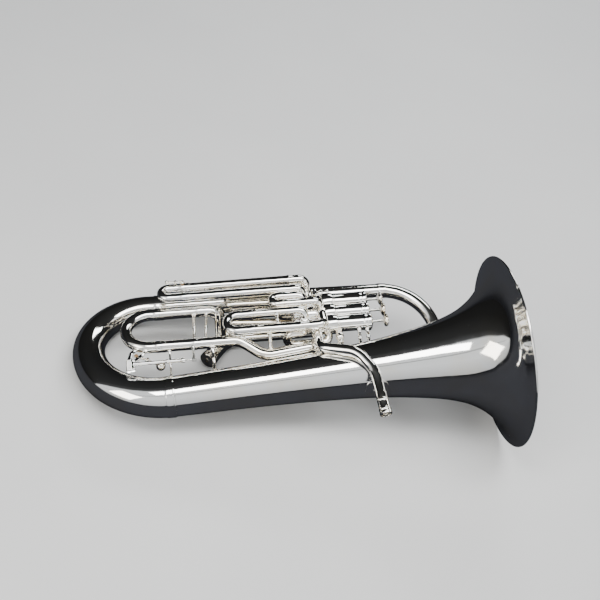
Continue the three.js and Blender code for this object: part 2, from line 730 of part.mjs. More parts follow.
place('brace_bell_outer', brace(onMainLower(-536.5), onBell(-536.5), 3.5, 1.5));
place('brace_bell_middle', brace(onMainLower(-468), onBell(-468), 6, 2.8));
place('brace_bell_inner', brace(onFirstSlide(-376), onBranchTube(-376), 4.8, 2.6));
place('brace_main_slide', brace(onMainUpper(-492.7), onMainLower(-496.8), 4.3));
place('brace_main_slide_inner', brace(onMainUpper(-472), onMainLower(-479), 3.4, 1.9));
place('brace_casing_bell', brace(onFirstCasing(-222), onBell(-222), 6, 3.2));
place('brace_back_branch', brace(onThirdSlide(-420), onBackBranch(-420)));

// ---------------------------------------------------------------- main slide trigger

const rodPoint = (x) => vec(x, TRIGGER_ROD.y, TRIGGER_ROD.z);
const crookBend = (MAIN_SLIDE.y[0] - MAIN_SLIDE.y[1]) / 2;

/** A point beside the main slide's crook, at an angle round its bend from the lower leg. */
function besideCrook(angle, clearance) {
  const reach = crookBend + MAIN_SLIDE.radius + clearance;
  const turn = radians(angle);
  const centreY = MAIN_SLIDE.y[1] + crookBend;
  const x = MAIN_SLIDE.bendX - reach * Math.sin(turn);
  return vec(x, centreY - reach * Math.cos(turn), TRIGGER_ROD.z - 1);
}

/** One band of the bracket's arm, bent once on its way from the crook to the barrel. */
function armBand(start, elbow, end) {
  const radius = 2.2;
  const knee = new THREE.SphereGeometry(radius * 1.03, 8, 6);
  return joined(rod(start, elbow, radius), rod(elbow, end, radius), aim(knee, elbow, vec(0, 1, 0)));
}

/** Bracket on the main slide's crook: two curved bands, a barrel and the tube that rides on the guide. */
function triggerBracket() {
  const { x: [left, right], y: [top, bottom], radius } = TRIGGER_BARREL;
  const z = TRIGGER_ROD.z;
  const barrels = [left, right].map((x) => rod(vec(x, top, z), vec(x, bottom, z), radius, 10));
  const outerBand = armBand(besideCrook(27, 2.6), vec(-598, 29, z), vec(left, top - 3, z));
  const innerBand = armBand(besideCrook(10, 2.6), vec(-584, 20, z), vec(right, top - 4, z));
  const end = TRIGGER_SLEEVE_LENGTH;
  const collar = 3.6;
  const pipe = 2.6;
  const bore = 1.5;
  const sleeve = turned([
    [0, 0], [0, collar], [3, collar], [3, pipe], [end - 3, pipe], [end - 3, collar], [end, collar],
    [end, bore], [6, bore], [6, 0],
  ], 8);
  return joined(...barrels, outerBand, innerBand, aim(sleeve, rodPoint(right), valveAxis));
}

/** The guide rod on its post, which stands on the main slide's lower fixed tube. */
function triggerGuide() {
  const { startX, endX, radius } = TRIGGER_ROD;
  const foot = vec(startX, MAIN_SLIDE.y[1] - MAIN_SLIDE.radius - FERRULE - GAP, MAIN_SLIDE.z + 1);
  const ball = new THREE.SphereGeometry(3.4, 8, 6).translate(...rodPoint(startX));
  return joined(rod(foot, rodPoint(startX), 2.2), ball, rod(rodPoint(startX), rodPoint(endX), radius));
}

place('trigger_bracket', triggerBracket());
place('trigger_guide_rod', triggerGuide(), nickel);

// ---------------------------------------------------------------- water keys

/** A lever with a cork cup at one end, a pivot barrel and a touch piece at the other. */
function waterKey({ cup, pivot, touch, side, knobRadius, cupDrop }) {
  const halfBarrel = side.clone().normalize().multiplyScalar(4);
  const barrel = rod(pivot.clone().sub(halfBarrel), pivot.clone().add(halfBarrel), 1.9);
  const pad = rod(cup, cup.clone().add(cupDrop), 3.4, 10);
  const knob = aim(new THREE.SphereGeometry(knobRadius, 10, 6), touch, vec(0, 0, 1));
  const leverRadius = 1.5;
  return joined(rod(cup, pivot, leverRadius), rod(pivot, touch, leverRadius), barrel, pad, knob);
}

place('water_key_main', waterKey({
  cup: vec(-590, 43, 20.5),
  pivot: vec(-573, 34, 19.5),
  touch: vec(-552, 16, 20),
  side: vec(0.47, 0.88, 0),
  knobRadius: 7.6,
  cupDrop: vec(0, 0, 2.6),
}), warmSilver);
place('water_key_third', waterKey({
  cup: vec(-508, 158, 73),
  pivot: vec(-519, 158, 73),
  touch: vec(-533, 158, 74.5),
  side: vec(0, 1, 0),
  knobRadius: 3.2,
  cupDrop: vec(0, 0, -2.8),
}), warmSilver);

// ---------------------------------------------------------------- attitude and origin

const atRest = new THREE.Group();
atRest.rotation.set(radians(REST_ROLL), radians(REST_TILT), 0);
atRest.add(instrument);

const euphonium = new THREE.Group();
euphonium.name = 'euphonium';
euphonium.add(atRest);
euphonium.updateMatrixWorld(true);
const box = new THREE.Box3().setFromObject(euphonium, true);
const middle = box.getCenter(vec(0, 0, 0));
atRest.position.set(-middle.x, -middle.y, -box.min.z);
euphonium.updateMatrixWorld(true);

export default euphonium;
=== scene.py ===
import json
import math

import bmesh
import bpy
import numpy as np
from mathutils import Matrix, Vector


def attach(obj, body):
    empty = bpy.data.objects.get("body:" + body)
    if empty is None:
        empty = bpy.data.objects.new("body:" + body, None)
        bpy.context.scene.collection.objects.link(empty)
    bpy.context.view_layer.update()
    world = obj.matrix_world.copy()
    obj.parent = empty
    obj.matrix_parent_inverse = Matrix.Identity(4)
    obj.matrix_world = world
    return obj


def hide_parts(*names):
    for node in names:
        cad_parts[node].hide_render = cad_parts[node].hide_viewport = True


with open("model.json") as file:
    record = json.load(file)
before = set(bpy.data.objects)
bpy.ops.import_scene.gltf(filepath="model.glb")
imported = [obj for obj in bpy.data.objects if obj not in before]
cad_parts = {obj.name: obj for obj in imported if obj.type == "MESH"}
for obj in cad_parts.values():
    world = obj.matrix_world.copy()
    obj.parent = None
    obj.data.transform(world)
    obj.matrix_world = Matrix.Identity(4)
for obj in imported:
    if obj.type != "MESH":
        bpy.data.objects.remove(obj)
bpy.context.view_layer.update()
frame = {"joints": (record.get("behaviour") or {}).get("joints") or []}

# Every length below is in millimetres in the instrument's own frame: x towards the bell mouth, y from the
# bell to the back branch, z out of the main plane on the side of the slides. TO_ROW takes that frame to
# the row frame in metres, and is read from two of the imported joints.

MM = 0.001
X, Y, Z = np.eye(3)

# ---------------------------------------------------------------- driving dimensions

BELL_RADIUS = 154
BELL_LENGTH = 536
BELL_LEAN = math.radians(4.3)
BELL_CENTRE = np.array((0, 5.5, 0))
BELL_TAIL_RADIUS = 32
BELL_WALL = 0.8
BELL_OUTLINE = [
    (0, BELL_RADIUS), (3, 146), (9, 131), (17, 118), (28, 105), (45, 90), (70, 75.5), (105, 64),
    (150, 55), (210, 46.6), (300, 39.7), (420, 34.4), (BELL_LENGTH, BELL_TAIL_RADIUS),
]

BACK_BRANCH_Y = 184.5
BACK_BRANCH_X = (-545, -177)
BACK_BRANCH_RADII = (20.5, 11.9)
BOW_LEFT_X = -667
BOW_UPPER_BEND = 100
TOP_BOW_BEND = 88
TOP_BOW_DIP = math.radians(21.5)
TOP_BOW_TAIL = 12
BRANCH_RADIUS = 9.3
TUBE_WALL = 0.6
GAP = 0.3
FERRULE = 0.7

MAIN_Y = (125, 45.5)
MAIN_Z = 35
MAIN_SLEEVE_X = -549

CASING_RADIUS = 13.4
CASING_BORE = 11.6
CASING_LENGTH = 111
CAP_RADIUS = 14.6
BALUSTER_RADIUS = 14.4
BALUSTER = (44, 62)
BAND_RADIUS = 16.3                   # rounded band round each casing, where its tubes enter
PISTON = (32, 108)
PISTON_RADIUS = 11.1
STEM_RADIUS = 2.4
STEM_TOP = 137.2
BUTTON = 137.5
SPRING = (-5.2, 31.4)
INTO_CASING = 9
SLIDE_RADIUS = 7.4
BIG_SLIDE_RADIUS = 7.6
SLIDE_FIT = 0.45                     # radial clearance of an inner leg in its sleeve

WATER_KEY_PIVOT = np.array((-519.0, 158, 73))

# ---------------------------------------------------------------- from the instrument to the row frame

joints = {j["name"]: j for j in frame["joints"]}
x_axis = -Vector(joints["main_slide_pull"]["axis"])
y_axis = -Vector(joints["third_water_key_lift"]["axis"])
turn = Matrix((x_axis, y_axis, x_axis.cross(y_axis))).transposed()
pivot = Vector(joints["third_water_key_lift"]["pos_m"])
TO_ROW = Matrix.Translation(pivot - turn @ Vector(WATER_KEY_PIVOT) * MM) @ turn.to_4x4() @ Matrix.Scale(MM, 4)


def in_row(points):
    """Points of the instrument's frame in the row frame, in metres."""
    matrix = np.array(TO_ROW)
    return np.asarray(points, float).reshape(-1, 3) @ matrix[:3, :3].T + matrix[:3, 3]


# ---------------------------------------------------------------- vectors and routes


def vec(*numbers):
    return np.array(numbers, float)


def unit(v):
    return v / np.linalg.norm(v)


def square_to(axis):
    """A unit vector square to a unit axis, and as near upright as it can be."""
    up = Z if abs(axis[2]) < 0.9 else X
    return unit(up - (up @ axis) * axis)


def about(v, axis, angle):
    """A vector turned about a unit axis."""
    return (v * math.cos(angle) + np.cross(axis, v) * math.sin(angle)
            + axis * (axis @ v) * (1 - math.cos(angle)))


class Route:
    """A centre line of straight runs joined by round bends, which carries a frame along it."""

    def __init__(self, corners, bends=0.0):
        corners = [np.asarray(c, float) for c in corners]
        bends = bends if isinstance(bends, (list, tuple)) else [bends] * (len(corners) - 2)
        self.pieces = []
        self.length = 0.0
        self.point = corners[0]
        self.tangent = unit(corners[1] - corners[0])
        self.normal = square_to(self.tangent)
        for corner, following, radius in zip(corners[1:-1], corners[2:], bends):
            self.bend(corner, following, radius)
        self.straight(corners[-1])

    def bend(self, corner, following, radius):
        onward = unit(following - corner)
        angle = math.acos(max(-1.0, min(1.0, float(self.tangent @ onward))))
        if angle < 1e-4:
            return
        self.straight(corner - self.tangent * radius * math.tan(angle / 2))
        self.add(radius * angle, radius, unit(np.cross(self.tangent, onward)))

    def straight(self, end):
        length = float((end - self.point) @ self.tangent)
        if length > 1e-3:
            self.add(length)

    def add(self, length, radius=0.0, axis=None):
        self.pieces.append((self.length, length, radius, axis, self.point, self.tangent, self.normal))
        self.length += length
        self.point, self.tangent, self.normal = self.at(self.length)

    def at(self, distance):
        """The point, the tangent and the normal at a distance along the route."""
        start, _, radius, axis, point, tangent, normal = next(
            (p for p in reversed(self.pieces) if p[0] <= distance + 1e-6), self.pieces[0])
        along = distance - start
        if axis is None:
            return point + tangent * along, tangent, normal
        angle = along / radius
        inward = np.cross(axis, tangent)
        moved = point + tangent * radius * math.sin(angle) + inward * radius * (1 - math.cos(angle))
        return moved, about(tangent, axis, angle), about(normal, axis, angle)

    def stations(self, step):
        """Distances that need a ring: the ends of each run, and steps round each bend."""
        found = [0.0]
        for start, length, radius, axis, *_ in self.pieces:
            count = 1 if axis is None else max(1, math.ceil(length / radius / math.radians(step)))
            found += [start + length * i / count for i in range(1, count + 1)]
        return found

    def ring(self, distance, radius, sides):
        """Points of a circle about the route."""
        point, tangent, normal = self.at(distance)
        return circle(point, tangent, normal, radius, sides)


def circle(point, tangent, normal, radius, sides, wave=None):
    angles = np.arange(sides) * 2 * math.pi / sides
    radii = radius if wave is None else radius + wave(angles)
    side = np.cross(tangent, normal)
    return point + (np.cos(angles) * radii)[:, None] * side + (np.sin(angles) * radii)[:, None] * normal


# ---------------------------------------------------------------- profiles


def eased(profile, radius=0.35, closed=False):
    """A profile with each sharp corner turned into a short curve."""
    points = [np.asarray(p, float) for p in profile]
    if closed:
        points = points[:-1]
    found = []
    for i, corner in enumerate(points):
        before = points[i - 1] if i or closed else None
        after = points[(i + 1) % len(points)] if closed or i < len(points) - 1 else None
        if before is None or after is None:
            found.append(corner)
            continue
        back, onward = before - corner, after - corner
        reach = min(radius, 0.45 * np.linalg.norm(back), 0.45 * np.linalg.norm(onward))
        straightness = -(back @ onward) / max(np.linalg.norm(back) * np.linalg.norm(onward), 1e-9)
        if reach < 1e-3 or straightness > 0.97:
            found.append(corner)
            continue
        a, b = corner + unit(back) * reach, corner + unit(onward) * reach
        found += [a, 0.25 * a + 0.5 * corner + 0.25 * b, b]
    if closed:
        found.append(found[0])
    return found


def smooth_outline(knots, count):
    """Points on a monotone cubic through (distance, radius) knots, closer together where the knots are."""
    x, y = np.array(knots, float).T
    step, rise = np.diff(x), np.diff(y) / np.diff(x)
    slope = np.empty(len(x))
    slope[0], slope[-1] = rise[0], rise[-1]
    weights = 3 * (step[:-1] + step[1:])
    slope[1:-1] = weights / ((2 * step[1:] + step[:-1]) / rise[:-1] + (step[1:] + 2 * step[:-1]) / rise[1:])
    found = []
    for i in range(len(step)):
        for t in np.arange(count) / count:
            found.append((x[i] + t * step[i],
                          (1 + 2 * t) * (1 - t) ** 2 * y[i] + t * (1 - t) ** 2 * step[i] * slope[i]
                          + t * t * (3 - 2 * t) * y[i + 1] + t * t * (t - 1) * step[i] * slope[i + 1]))
    return found + [(x[-1], y[-1])]


def along_route(profile, stations):
    """The profile's points with the route's rings added between them."""
    found = []
    for (distance, radius), (onward, onward_radius) in zip(profile, profile[1:]):
        found.append((distance, radius))
        for station in stations:
            if distance + 0.2 < station < onward - 0.2:
                share = (station - distance) / (onward - distance)
                found.append((station, radius + (onward_radius - radius) * share))
    return found + [tuple(profile[-1])]


# ---------------------------------------------------------------- surfaces


def grid(rings, closed=False):
    """Vertices and quads of a stack of rings of points."""
    rings = np.array(rings)
    rows, sides = rings.shape[:2]
    faces = []
    for row in range(rows if closed else rows - 1):
        onward = (row + 1) % rows
        for side in range(sides):
            beside = (side + 1) % sides
            faces.append((row * sides + side, row * sides + beside,
                          onward * sides + beside, onward * sides + side))
    return rings.reshape(-1, 3), faces


def turned(profile, origin, axis, sides=48, closed=False, ease=0.35, wave=None, waved=None):
    """A body of revolution from (distance, radius) pairs along an axis."""
    axis = unit(np.asarray(axis, float))
    normal = square_to(axis)
    points = eased(profile, ease, closed) if ease else [np.asarray(p, float) for p in profile]
    if closed:
        points = points[:-1]
    rings = []
    for distance, radius in points:
        rippled = wave if waved and waved[0] <= distance <= waved[1] and radius > waved[2] else None
        rings.append(circle(origin + axis * distance, axis, normal, radius, sides, rippled))
    return grid(rings, closed)


def slid(ring, direction, port, height):
    """A ring slid along a direction until it lies on a valve casing, a height above its surface."""
    offset = ring - port.bottom
    flat = offset - np.outer(offset @ port.axis, port.axis)
    heading = direction - (direction @ port.axis) * port.axis
    a = heading @ heading
    b = flat @ heading
    c = (flat * flat).sum(1) - (port.surface + height) ** 2
    travel = (-b - np.sqrt(np.maximum(b * b - a * c, 0))) / a
    return ring + np.outer(travel, direction)


class Port:
    """Where a tube meets a valve casing."""

    def __init__(self, valve, surface=BALUSTER_RADIUS):
        self.bottom, self.axis, self.surface = valve.bottom, valve.axis, surface


# A solder fillet round a port: how far each ring stands out of the tube, and above the casing.
FILLET = [(0, 3.2), (0.12, 2.2), (0.4, 1.35), (0.95, 0.7), (1.7, 0.35), (2.2, 0.1), (2.3, -0.7)]
CASING_BITE = -0.9


def tube(route, outside, inside, sides=32, step=5, ease=0.3, start=None, end=None):
    """A hollow tube along a route, with stepped or tapered walls, whose ends may fit casings."""
    stations = route.stations(step)
    outer = along_route(eased(outside, ease), stations)
    inner = along_route(inside, stations)
    outer_rings = [(d, route.ring(d, r, sides)) for d, r in outer]
    inner_rings = [(d, route.ring(d, r, sides)) for d, r in inner]
    for port, distance, sign in ((start, 0.0, -1), (end, route.length, 1)):
        if port is None:
            continue
        point, tangent, normal = route.at(distance)
        radius, bore = (outer[0][1], inner[0][1]) if sign < 0 else (outer[-1][1], inner[-1][1])
        fillet = [slid(circle(point, tangent, normal, radius + out, sides), tangent * sign, port, up)
                  for out, up in FILLET]
        mouth = slid(circle(point, tangent, normal, bore, sides), tangent * sign, port, CASING_BITE)
        reach = ((fillet[0] - point) @ tangent * sign).min() - 0.3
        outer_rings, inner_rings = (
            [(d, ring) for d, ring in rings if (d - distance) * sign < reach]
            for rings in (outer_rings, inner_rings))
        added = [(distance, ring) for ring in fillet]
        if sign > 0:
            outer_rings += added
            inner_rings.append((distance, mouth))
        else:
            outer_rings = added[::-1] + outer_rings
            inner_rings.insert(0, (distance, mouth))
    rings = [ring for _, ring in outer_rings] + [ring for _, ring in reversed(inner_rings)]
    return grid(rings, closed=True)


def plain_tube(route, radius, ferrules=(), wall=TUBE_WALL, **options):
    """A tube of one radius with raised ferrules between the given distances."""
    profile = [(0, radius)]
    for begin, finish in ferrules:
        if begin <= 0:
            profile = [(0, radius + FERRULE)]
        else:
            profile += [(begin, radius), (begin, radius + FERRULE)]
        profile += [(finish, radius + FERRULE)]
        if finish < route.length - 1e-6:
            profile += [(finish, radius)]
    if profile[-1][0] < route.length - 1e-6:
        profile.append((route.length, profile[-1][1]))
    return tube(route, profile, [(0, radius - wall), (route.length, radius - wall)], **options)


def rod(begin, finish, radius, sides=20):
    length = np.linalg.norm(finish - begin)
    profile = [(0, 0), (0, radius), (length, radius), (length, 0)]
    return turned(profile, begin, finish - begin, sides, ease=0.3)


def bead(centre, axis, radius):
    """A ball turned about an axis."""
    steps = 12
    angles = [math.pi * i / steps for i in range(steps + 1)]
    profile = [(-radius * math.cos(a), max(radius * math.sin(a), 0.0)) for a in angles]
    return turned(profile, centre, axis, 28, ease=0)


def hoop(centre, axis, radius, wire, sides=48):
    """A ring of round wire."""
    steps = 12
    angles = [2 * math.pi * i / steps for i in range(steps + 1)]
    profile = [(wire * math.sin(a), radius + wire * math.cos(a)) for a in angles]
    return turned(profile, centre, axis, sides, closed=True, ease=0)


# ---------------------------------------------------------------- materials


class Paint:
    """A node material with a Principled shader and short ways to add textures to it."""

    def __init__(self, name, colour, roughness, metallic=0.0):
        self.material = bpy.data.materials.new(name)
        self.material.use_nodes = True
        self.tree = self.material.node_tree
        self.shader = self.tree.nodes["Principled BSDF"]
        self.shader.inputs["Base Color"].default_value = (*colour, 1)
        self.shader.inputs["Roughness"].default_value = roughness
        self.shader.inputs["Metallic"].default_value = metallic
        self.coordinates = self.tree.nodes.new("ShaderNodeTexCoord").outputs["Object"]

    def link(self, source, target):
        self.tree.links.new(source, target)

    def mapped(self, scale):
        node = self.tree.nodes.new("ShaderNodeMapping")
        node.inputs["Scale"].default_value = scale
        self.link(self.coordinates, node.inputs["Vector"])
        return node.outputs["Vector"]

    def noise(self, scale, detail=3.0, roughness=0.5, stretch=None, distortion=0.0):
        node = self.tree.nodes.new("ShaderNodeTexNoise")
        node.inputs["Scale"].default_value = scale
        node.inputs["Detail"].default_value = detail
        node.inputs["Roughness"].default_value = roughness
        node.inputs["Distortion"].default_value = distortion
        self.link(self.mapped(stretch) if stretch else self.coordinates, node.inputs["Vector"])
        return node.outputs["Fac"]

    def ramp(self, factor, stops):
        node = self.tree.nodes.new("ShaderNodeValToRGB")
        elements = node.color_ramp.elements
        while len(elements) < len(stops):
            elements.new(0.5)
        for element, (place, colour) in zip(elements, stops):
            element.position = place
            element.color = (*colour, 1) if isinstance(colour, tuple) else (colour,) * 3 + (1,)
        self.link(factor, node.inputs["Fac"])
        return node.outputs["Color"]

    def blend(self, kind, a, b):
        node = self.tree.nodes.new("ShaderNodeMix")
        node.data_type = "RGBA"
        node.blend_type = kind
        node.inputs["Factor"].default_value = 1.0
        colours = [socket for socket in node.inputs if socket.type == "RGBA"]
        self.link(a, colours[0])
        self.link(b, colours[1])
        return next(socket for socket in node.outputs if socket.type == "RGBA")

    def bump(self, height, distance, under=None):
        node = self.tree.nodes.new("ShaderNodeBump")
        node.inputs["Distance"].default_value = distance
        node.inputs["Strength"].default_value = 1.0
        self.link(height, node.inputs["Height"])
        if under:
            self.link(under, node.inputs["Normal"])
        self.link(node.outputs["Normal"], self.shader.inputs["Normal"])
        return node.outputs["Normal"]


def silver_plate(name, bright, warm, smooth, hazy, tint):
    """Polished silver plate: cloudy warm tints, faint hand marks and hairline polishing scratches."""
    paint = Paint(name, bright, smooth, metallic=1.0)
    clouds = paint.noise(14, detail=4, roughness=0.55, distortion=0.4)
    colour = paint.ramp(clouds, [(0.40, bright), (0.78, warm)])
    specks = paint.noise(900, detail=2)
    spotted = paint.ramp(specks, [(0.70, 1.0), (0.80, tint)])
    paint.link(paint.blend("MULTIPLY", colour, spotted), paint.shader.inputs["Base Color"])
    smears = paint.noise(70, detail=6, roughness=0.62, distortion=0.8)
    hairlines = paint.noise(1, detail=2, stretch=(2600, 260, 900))
    polish = paint.ramp(smears, [(0.36, smooth), (0.74, hazy)])
    scratched = paint.ramp(hairlines, [(0.66, 0.0), (0.74, 0.05)])
    paint.link(paint.blend("ADD", polish, scratched), paint.shader.inputs["Roughness"])
    waves = paint.bump(paint.noise(42, detail=1), 0.00012)
    paint.bump(hairlines, 0.000006, under=waves)
    return paint.material


def honed_metal(name, colour, dark, stretch):
    """Ground metal with fine marks along one direction."""
    paint = Paint(name, colour, 0.3, metallic=1.0)
    grain = paint.noise(1, detail=5, stretch=stretch)
    paint.link(paint.ramp(grain, [(0.3, dark), (0.7, colour)]), paint.shader.inputs["Base Color"])
    paint.link(paint.ramp(grain, [(0.3, 0.34), (0.7, 0.2)]), paint.shader.inputs["Roughness"])
    paint.bump(grain, 0.00002)
    return paint.material


def cork():
    paint = Paint("natural_cork", (0.55, 0.34, 0.17), 0.85)
    grains = paint.noise(900, detail=6, roughness=0.7)
    stops = [(0.3, (0.16, 0.08, 0.035)), (0.5, (0.50, 0.30, 0.15)), (0.75, (0.70, 0.48, 0.27))]
    paint.link(paint.ramp(grains, stops), paint.shader.inputs["Base Color"])
    paint.bump(grains, 0.0003)
    return paint.material


def felt():
    paint = Paint("woven_felt", (0.75, 0.73, 0.68), 0.95)
    fibres = paint.noise(2400, detail=5, roughness=0.75)
    paint.link(paint.ramp(fibres, [(0.3, (0.46, 0.44, 0.40)), (0.7, (0.86, 0.84, 0.79))]),
               paint.shader.inputs["Base Color"])
    paint.shader.inputs["Sheen Weight"].default_value = 0.5
    paint.bump(fibres, 0.0002)
    return paint.material


BRIGHT = silver_plate("silver_bright", (0.98, 0.975, 0.955), (0.96, 0.91, 0.80), 0.035, 0.11, 0.9)
PLATE = silver_plate("silver_plate", (0.975, 0.96, 0.93), (0.95, 0.88, 0.73), 0.05, 0.14, 0.88)
WARM = silver_plate("silver_warm", (0.965, 0.93, 0.85), (0.92, 0.80, 0.58), 0.08, 0.20, 0.82)
NICKEL = honed_metal("honed_nickel", (0.80, 0.79, 0.75), (0.58, 0.57, 0.54), (160, 3000, 3000))
STEEL = honed_metal("spring_wire", (0.66, 0.66, 0.66), (0.42, 0.42, 0.43), (1200, 1200, 1200))
CORK = cork()
FELT = felt()

# ---------------------------------------------------------------- pieces


SHARP_EDGE = math.radians(34)


def put(name, data):
    """A new object in the scene."""
    placed = bpy.data.objects.new(name, data)
    bpy.context.scene.collection.objects.link(placed)
    return placed


def make(name, parts, material, body="horn", replaces=()):
    """One object from surfaces in the instrument's frame, which rides on a body."""
    vertices, faces, base = [], [], 0
    for points, quads in parts:
        vertices.append(points)
        faces += [tuple(base + i for i in quad) for quad in quads]
        base += len(points)
    mesh = bpy.data.meshes.new(name)
    mesh.from_pydata(in_row(np.concatenate(vertices)).tolist(), [], faces)
    tidy(mesh)
    mesh.shade_smooth()
    mesh.set_sharp_from_angle(angle=SHARP_EDGE)
    mesh.materials.append(material)
    piece = put(name, mesh)
    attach(piece, body)
    if replaces:
        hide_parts(*([replaces] if isinstance(replaces, str) else replaces))
    return piece


def tidy(mesh):
    """Merges the points that meet on an axis, drops empty faces and turns all faces outwards."""
    work = bmesh.new()
    work.from_mesh(mesh)
    bmesh.ops.remove_doubles(work, verts=work.verts, dist=1e-6)
    bmesh.ops.dissolve_degenerate(work, edges=work.edges, dist=1e-7)
    bmesh.ops.recalc_face_normals(work, faces=work.faces)
    work.to_mesh(mesh)
    work.free()


def fine(node, parts, material, body="horn"):
    """The finished piece that stands for a CAD node."""
    return make(f"{node}_fine", parts, material, body, replaces=node)


# ---------------------------------------------------------------- camera, light and floor

# The camera is given in the instrument's frame: what it looks at, where from, and its field of view.
LOOK_AT = vec(-310.8, 176.2, 0)
LOOK_BACK = unit(vec(-0.0940, -0.7659, 0.6361))
LOOK_RIGHT = vec(0.9925, -0.1219, 0)
LOOK_DISTANCE = 2212
SENSOR = 36
FRAME_PIXELS = 600
FOCAL_PIXELS = 1300


def camera():
    data = bpy.data.cameras.new("camera")
    data.sensor_width = SENSOR
    data.lens = FOCAL_PIXELS / FRAME_PIXELS * SENSOR
    data.clip_start = 0.1
    data.clip_end = 50
    seen = put("camera", data)
    rotation = TO_ROW.to_3x3() * (1 / MM)
    right, back = unit(LOOK_RIGHT - (LOOK_RIGHT @ LOOK_BACK) * LOOK_BACK), LOOK_BACK
    columns = [rotation @ Vector(v) for v in (right, np.cross(back, right), back)]
    matrix = Matrix(columns).transposed().to_4x4()
    matrix.translation = Vector(in_row(LOOK_AT + back * LOOK_DISTANCE)[0])
    seen.matrix_world = matrix
    bpy.context.scene.camera = seen


def softbox(name, place, target, size, power, colour=(1, 1, 1)):
    """A rectangular soft light that faces a point."""
    data = bpy.data.lights.new(name, "AREA")
    data.shape = "RECTANGLE"
    data.size, data.size_y = size
    data.energy = power
    data.color = colour
    lamp = put(name, data)
    lamp.location = place
    lamp.rotation_euler = (Vector(target) - Vector(place)).to_track_quat("-Z", "Y").to_euler()


# What the silver reflects, by the angle from the front horizon over the zenith to the back, in turns:
# dark below, bright from the front up to overhead with one thin dark seam, and dark behind.
SKY_STOPS = [
    (0.0, 0.012), (0.455, 0.02), (0.49, 0.62), (0.60, 1.0), (0.652, 0.98), (0.656, 0.12),
    (0.662, 0.98), (0.735, 0.92), (0.752, 0.07), (0.80, 0.03), (0.93, 0.015), (1.0, 0.012)]
SKY_COLOUR = (0.95, 0.975, 1.0)
REFLECTED_FLOOR = (0.030, 0.031, 0.036)
PALE = (0.80, 0.80, 0.79)
FLOOR_HALF = 12                      # metres
AIM = (0, 0, 0.1)


def by_ray(tree, kind, usual, special):
    """One shader for rays of a kind, and another for all other rays."""
    rays = tree.nodes.new("ShaderNodeLightPath")
    mix = tree.nodes.new("ShaderNodeMixShader")
    tree.links.new(rays.outputs[kind], mix.inputs["Fac"])
    tree.links.new(usual, mix.inputs[1])
    tree.links.new(special, mix.inputs[2])
    output = next(n for n in tree.nodes if n.bl_idname.startswith("ShaderNodeOutput"))
    tree.links.new(mix.outputs["Shader"], output.inputs["Surface"])


def studio():
    world = bpy.data.worlds.new("studio")
    bpy.context.scene.world = world
    world.use_nodes = True
    tree = world.node_tree
    sky = tree.nodes["Background"]
    seen = tree.nodes.new("ShaderNodeBackground")
    seen.inputs["Color"].default_value = (*PALE, 1)
    direction = tree.nodes.new("ShaderNodeSeparateXYZ")
    tree.links.new(tree.nodes.new("ShaderNodeTexCoord").outputs["Generated"], direction.inputs["Vector"])

    def calculate(operation, first, second):
        node = tree.nodes.new("ShaderNodeMath")
        node.operation = operation
        for socket, value in zip(node.inputs, (first, second)):
            if isinstance(value, (int, float)):
                socket.default_value = value
            else:
                tree.links.new(value, socket)
        return node.outputs["Value"]

    toward = calculate("MULTIPLY", direction.outputs["Y"], -1.0)
    angle = calculate("ARCTAN2", direction.outputs["Z"], toward)
    turns = calculate("MULTIPLY_ADD", angle, 0.5 / math.pi)
    turns.node.inputs[2].default_value = 0.5
    ramp = tree.nodes.new("ShaderNodeValToRGB")
    while len(ramp.color_ramp.elements) < len(SKY_STOPS):
        ramp.color_ramp.elements.new(0.5)
    for element, (place, level) in zip(ramp.color_ramp.elements, SKY_STOPS):
        element.position = place
        element.color = (*(level * c for c in SKY_COLOUR), 1)
    tree.links.new(turns, ramp.inputs["Fac"])
    tree.links.new(ramp.outputs["Color"], sky.inputs["Color"])
    by_ray(tree, "Is Camera Ray", sky.outputs["Background"], seen.outputs["Background"])
    softbox("overhead", (0.1, -0.35, 1.9), AIM, (2.4, 0.6), 44)
    softbox("side", (-1.7, -0.9, 0.9), AIM, (0.9, 0.9), 14, (1.0, 0.96, 0.90))
    softbox("back", (0.9, 1.8, 1.5), (0.1, 0, 0.1), (1.4, 0.4), 16, (0.95, 0.98, 1.0))


def floor():
    """A pale floor, which the silver reflects as if a dark cloth lay round the instrument."""
    paint = Paint("studio_floor", PALE, 0.7)
    mottle = paint.noise(3, detail=4)
    paint.link(paint.ramp(mottle, [(0.3, (0.78, 0.78, 0.775)), (0.7, (0.82, 0.82, 0.81))]),
               paint.shader.inputs["Base Color"])
    dark = paint.tree.nodes.new("ShaderNodeBsdfDiffuse")
    dark.inputs["Color"].default_value = (*REFLECTED_FLOOR, 1)
    by_ray(paint.tree, "Is Glossy Ray", paint.shader.outputs["BSDF"], dark.outputs["BSDF"])
    corners = [(-1, -1), (1, -1), (1, 1), (-1, 1)]
    mesh = bpy.data.meshes.new("floor")
    mesh.from_pydata([(x * FLOOR_HALF, y * FLOOR_HALF, 0) for x, y in corners], [], [(0, 1, 2, 3)])
    mesh.materials.append(paint.material)
    ground = put("floor", mesh)


camera()
studio()
floor()

# ---------------------------------------------------------------- bell and main branches

bellward = vec(math.cos(BELL_LEAN), math.sin(BELL_LEAN), 0)


def behind_rim(distance):
    return BELL_CENTRE - distance * bellward


def radius_behind(distance):
    """The bell's outer radius at a distance behind the rim."""
    distances, radii = np.array(smooth_outline(BELL_OUTLINE, 5)).T
    return float(np.interp(distance, distances, radii))


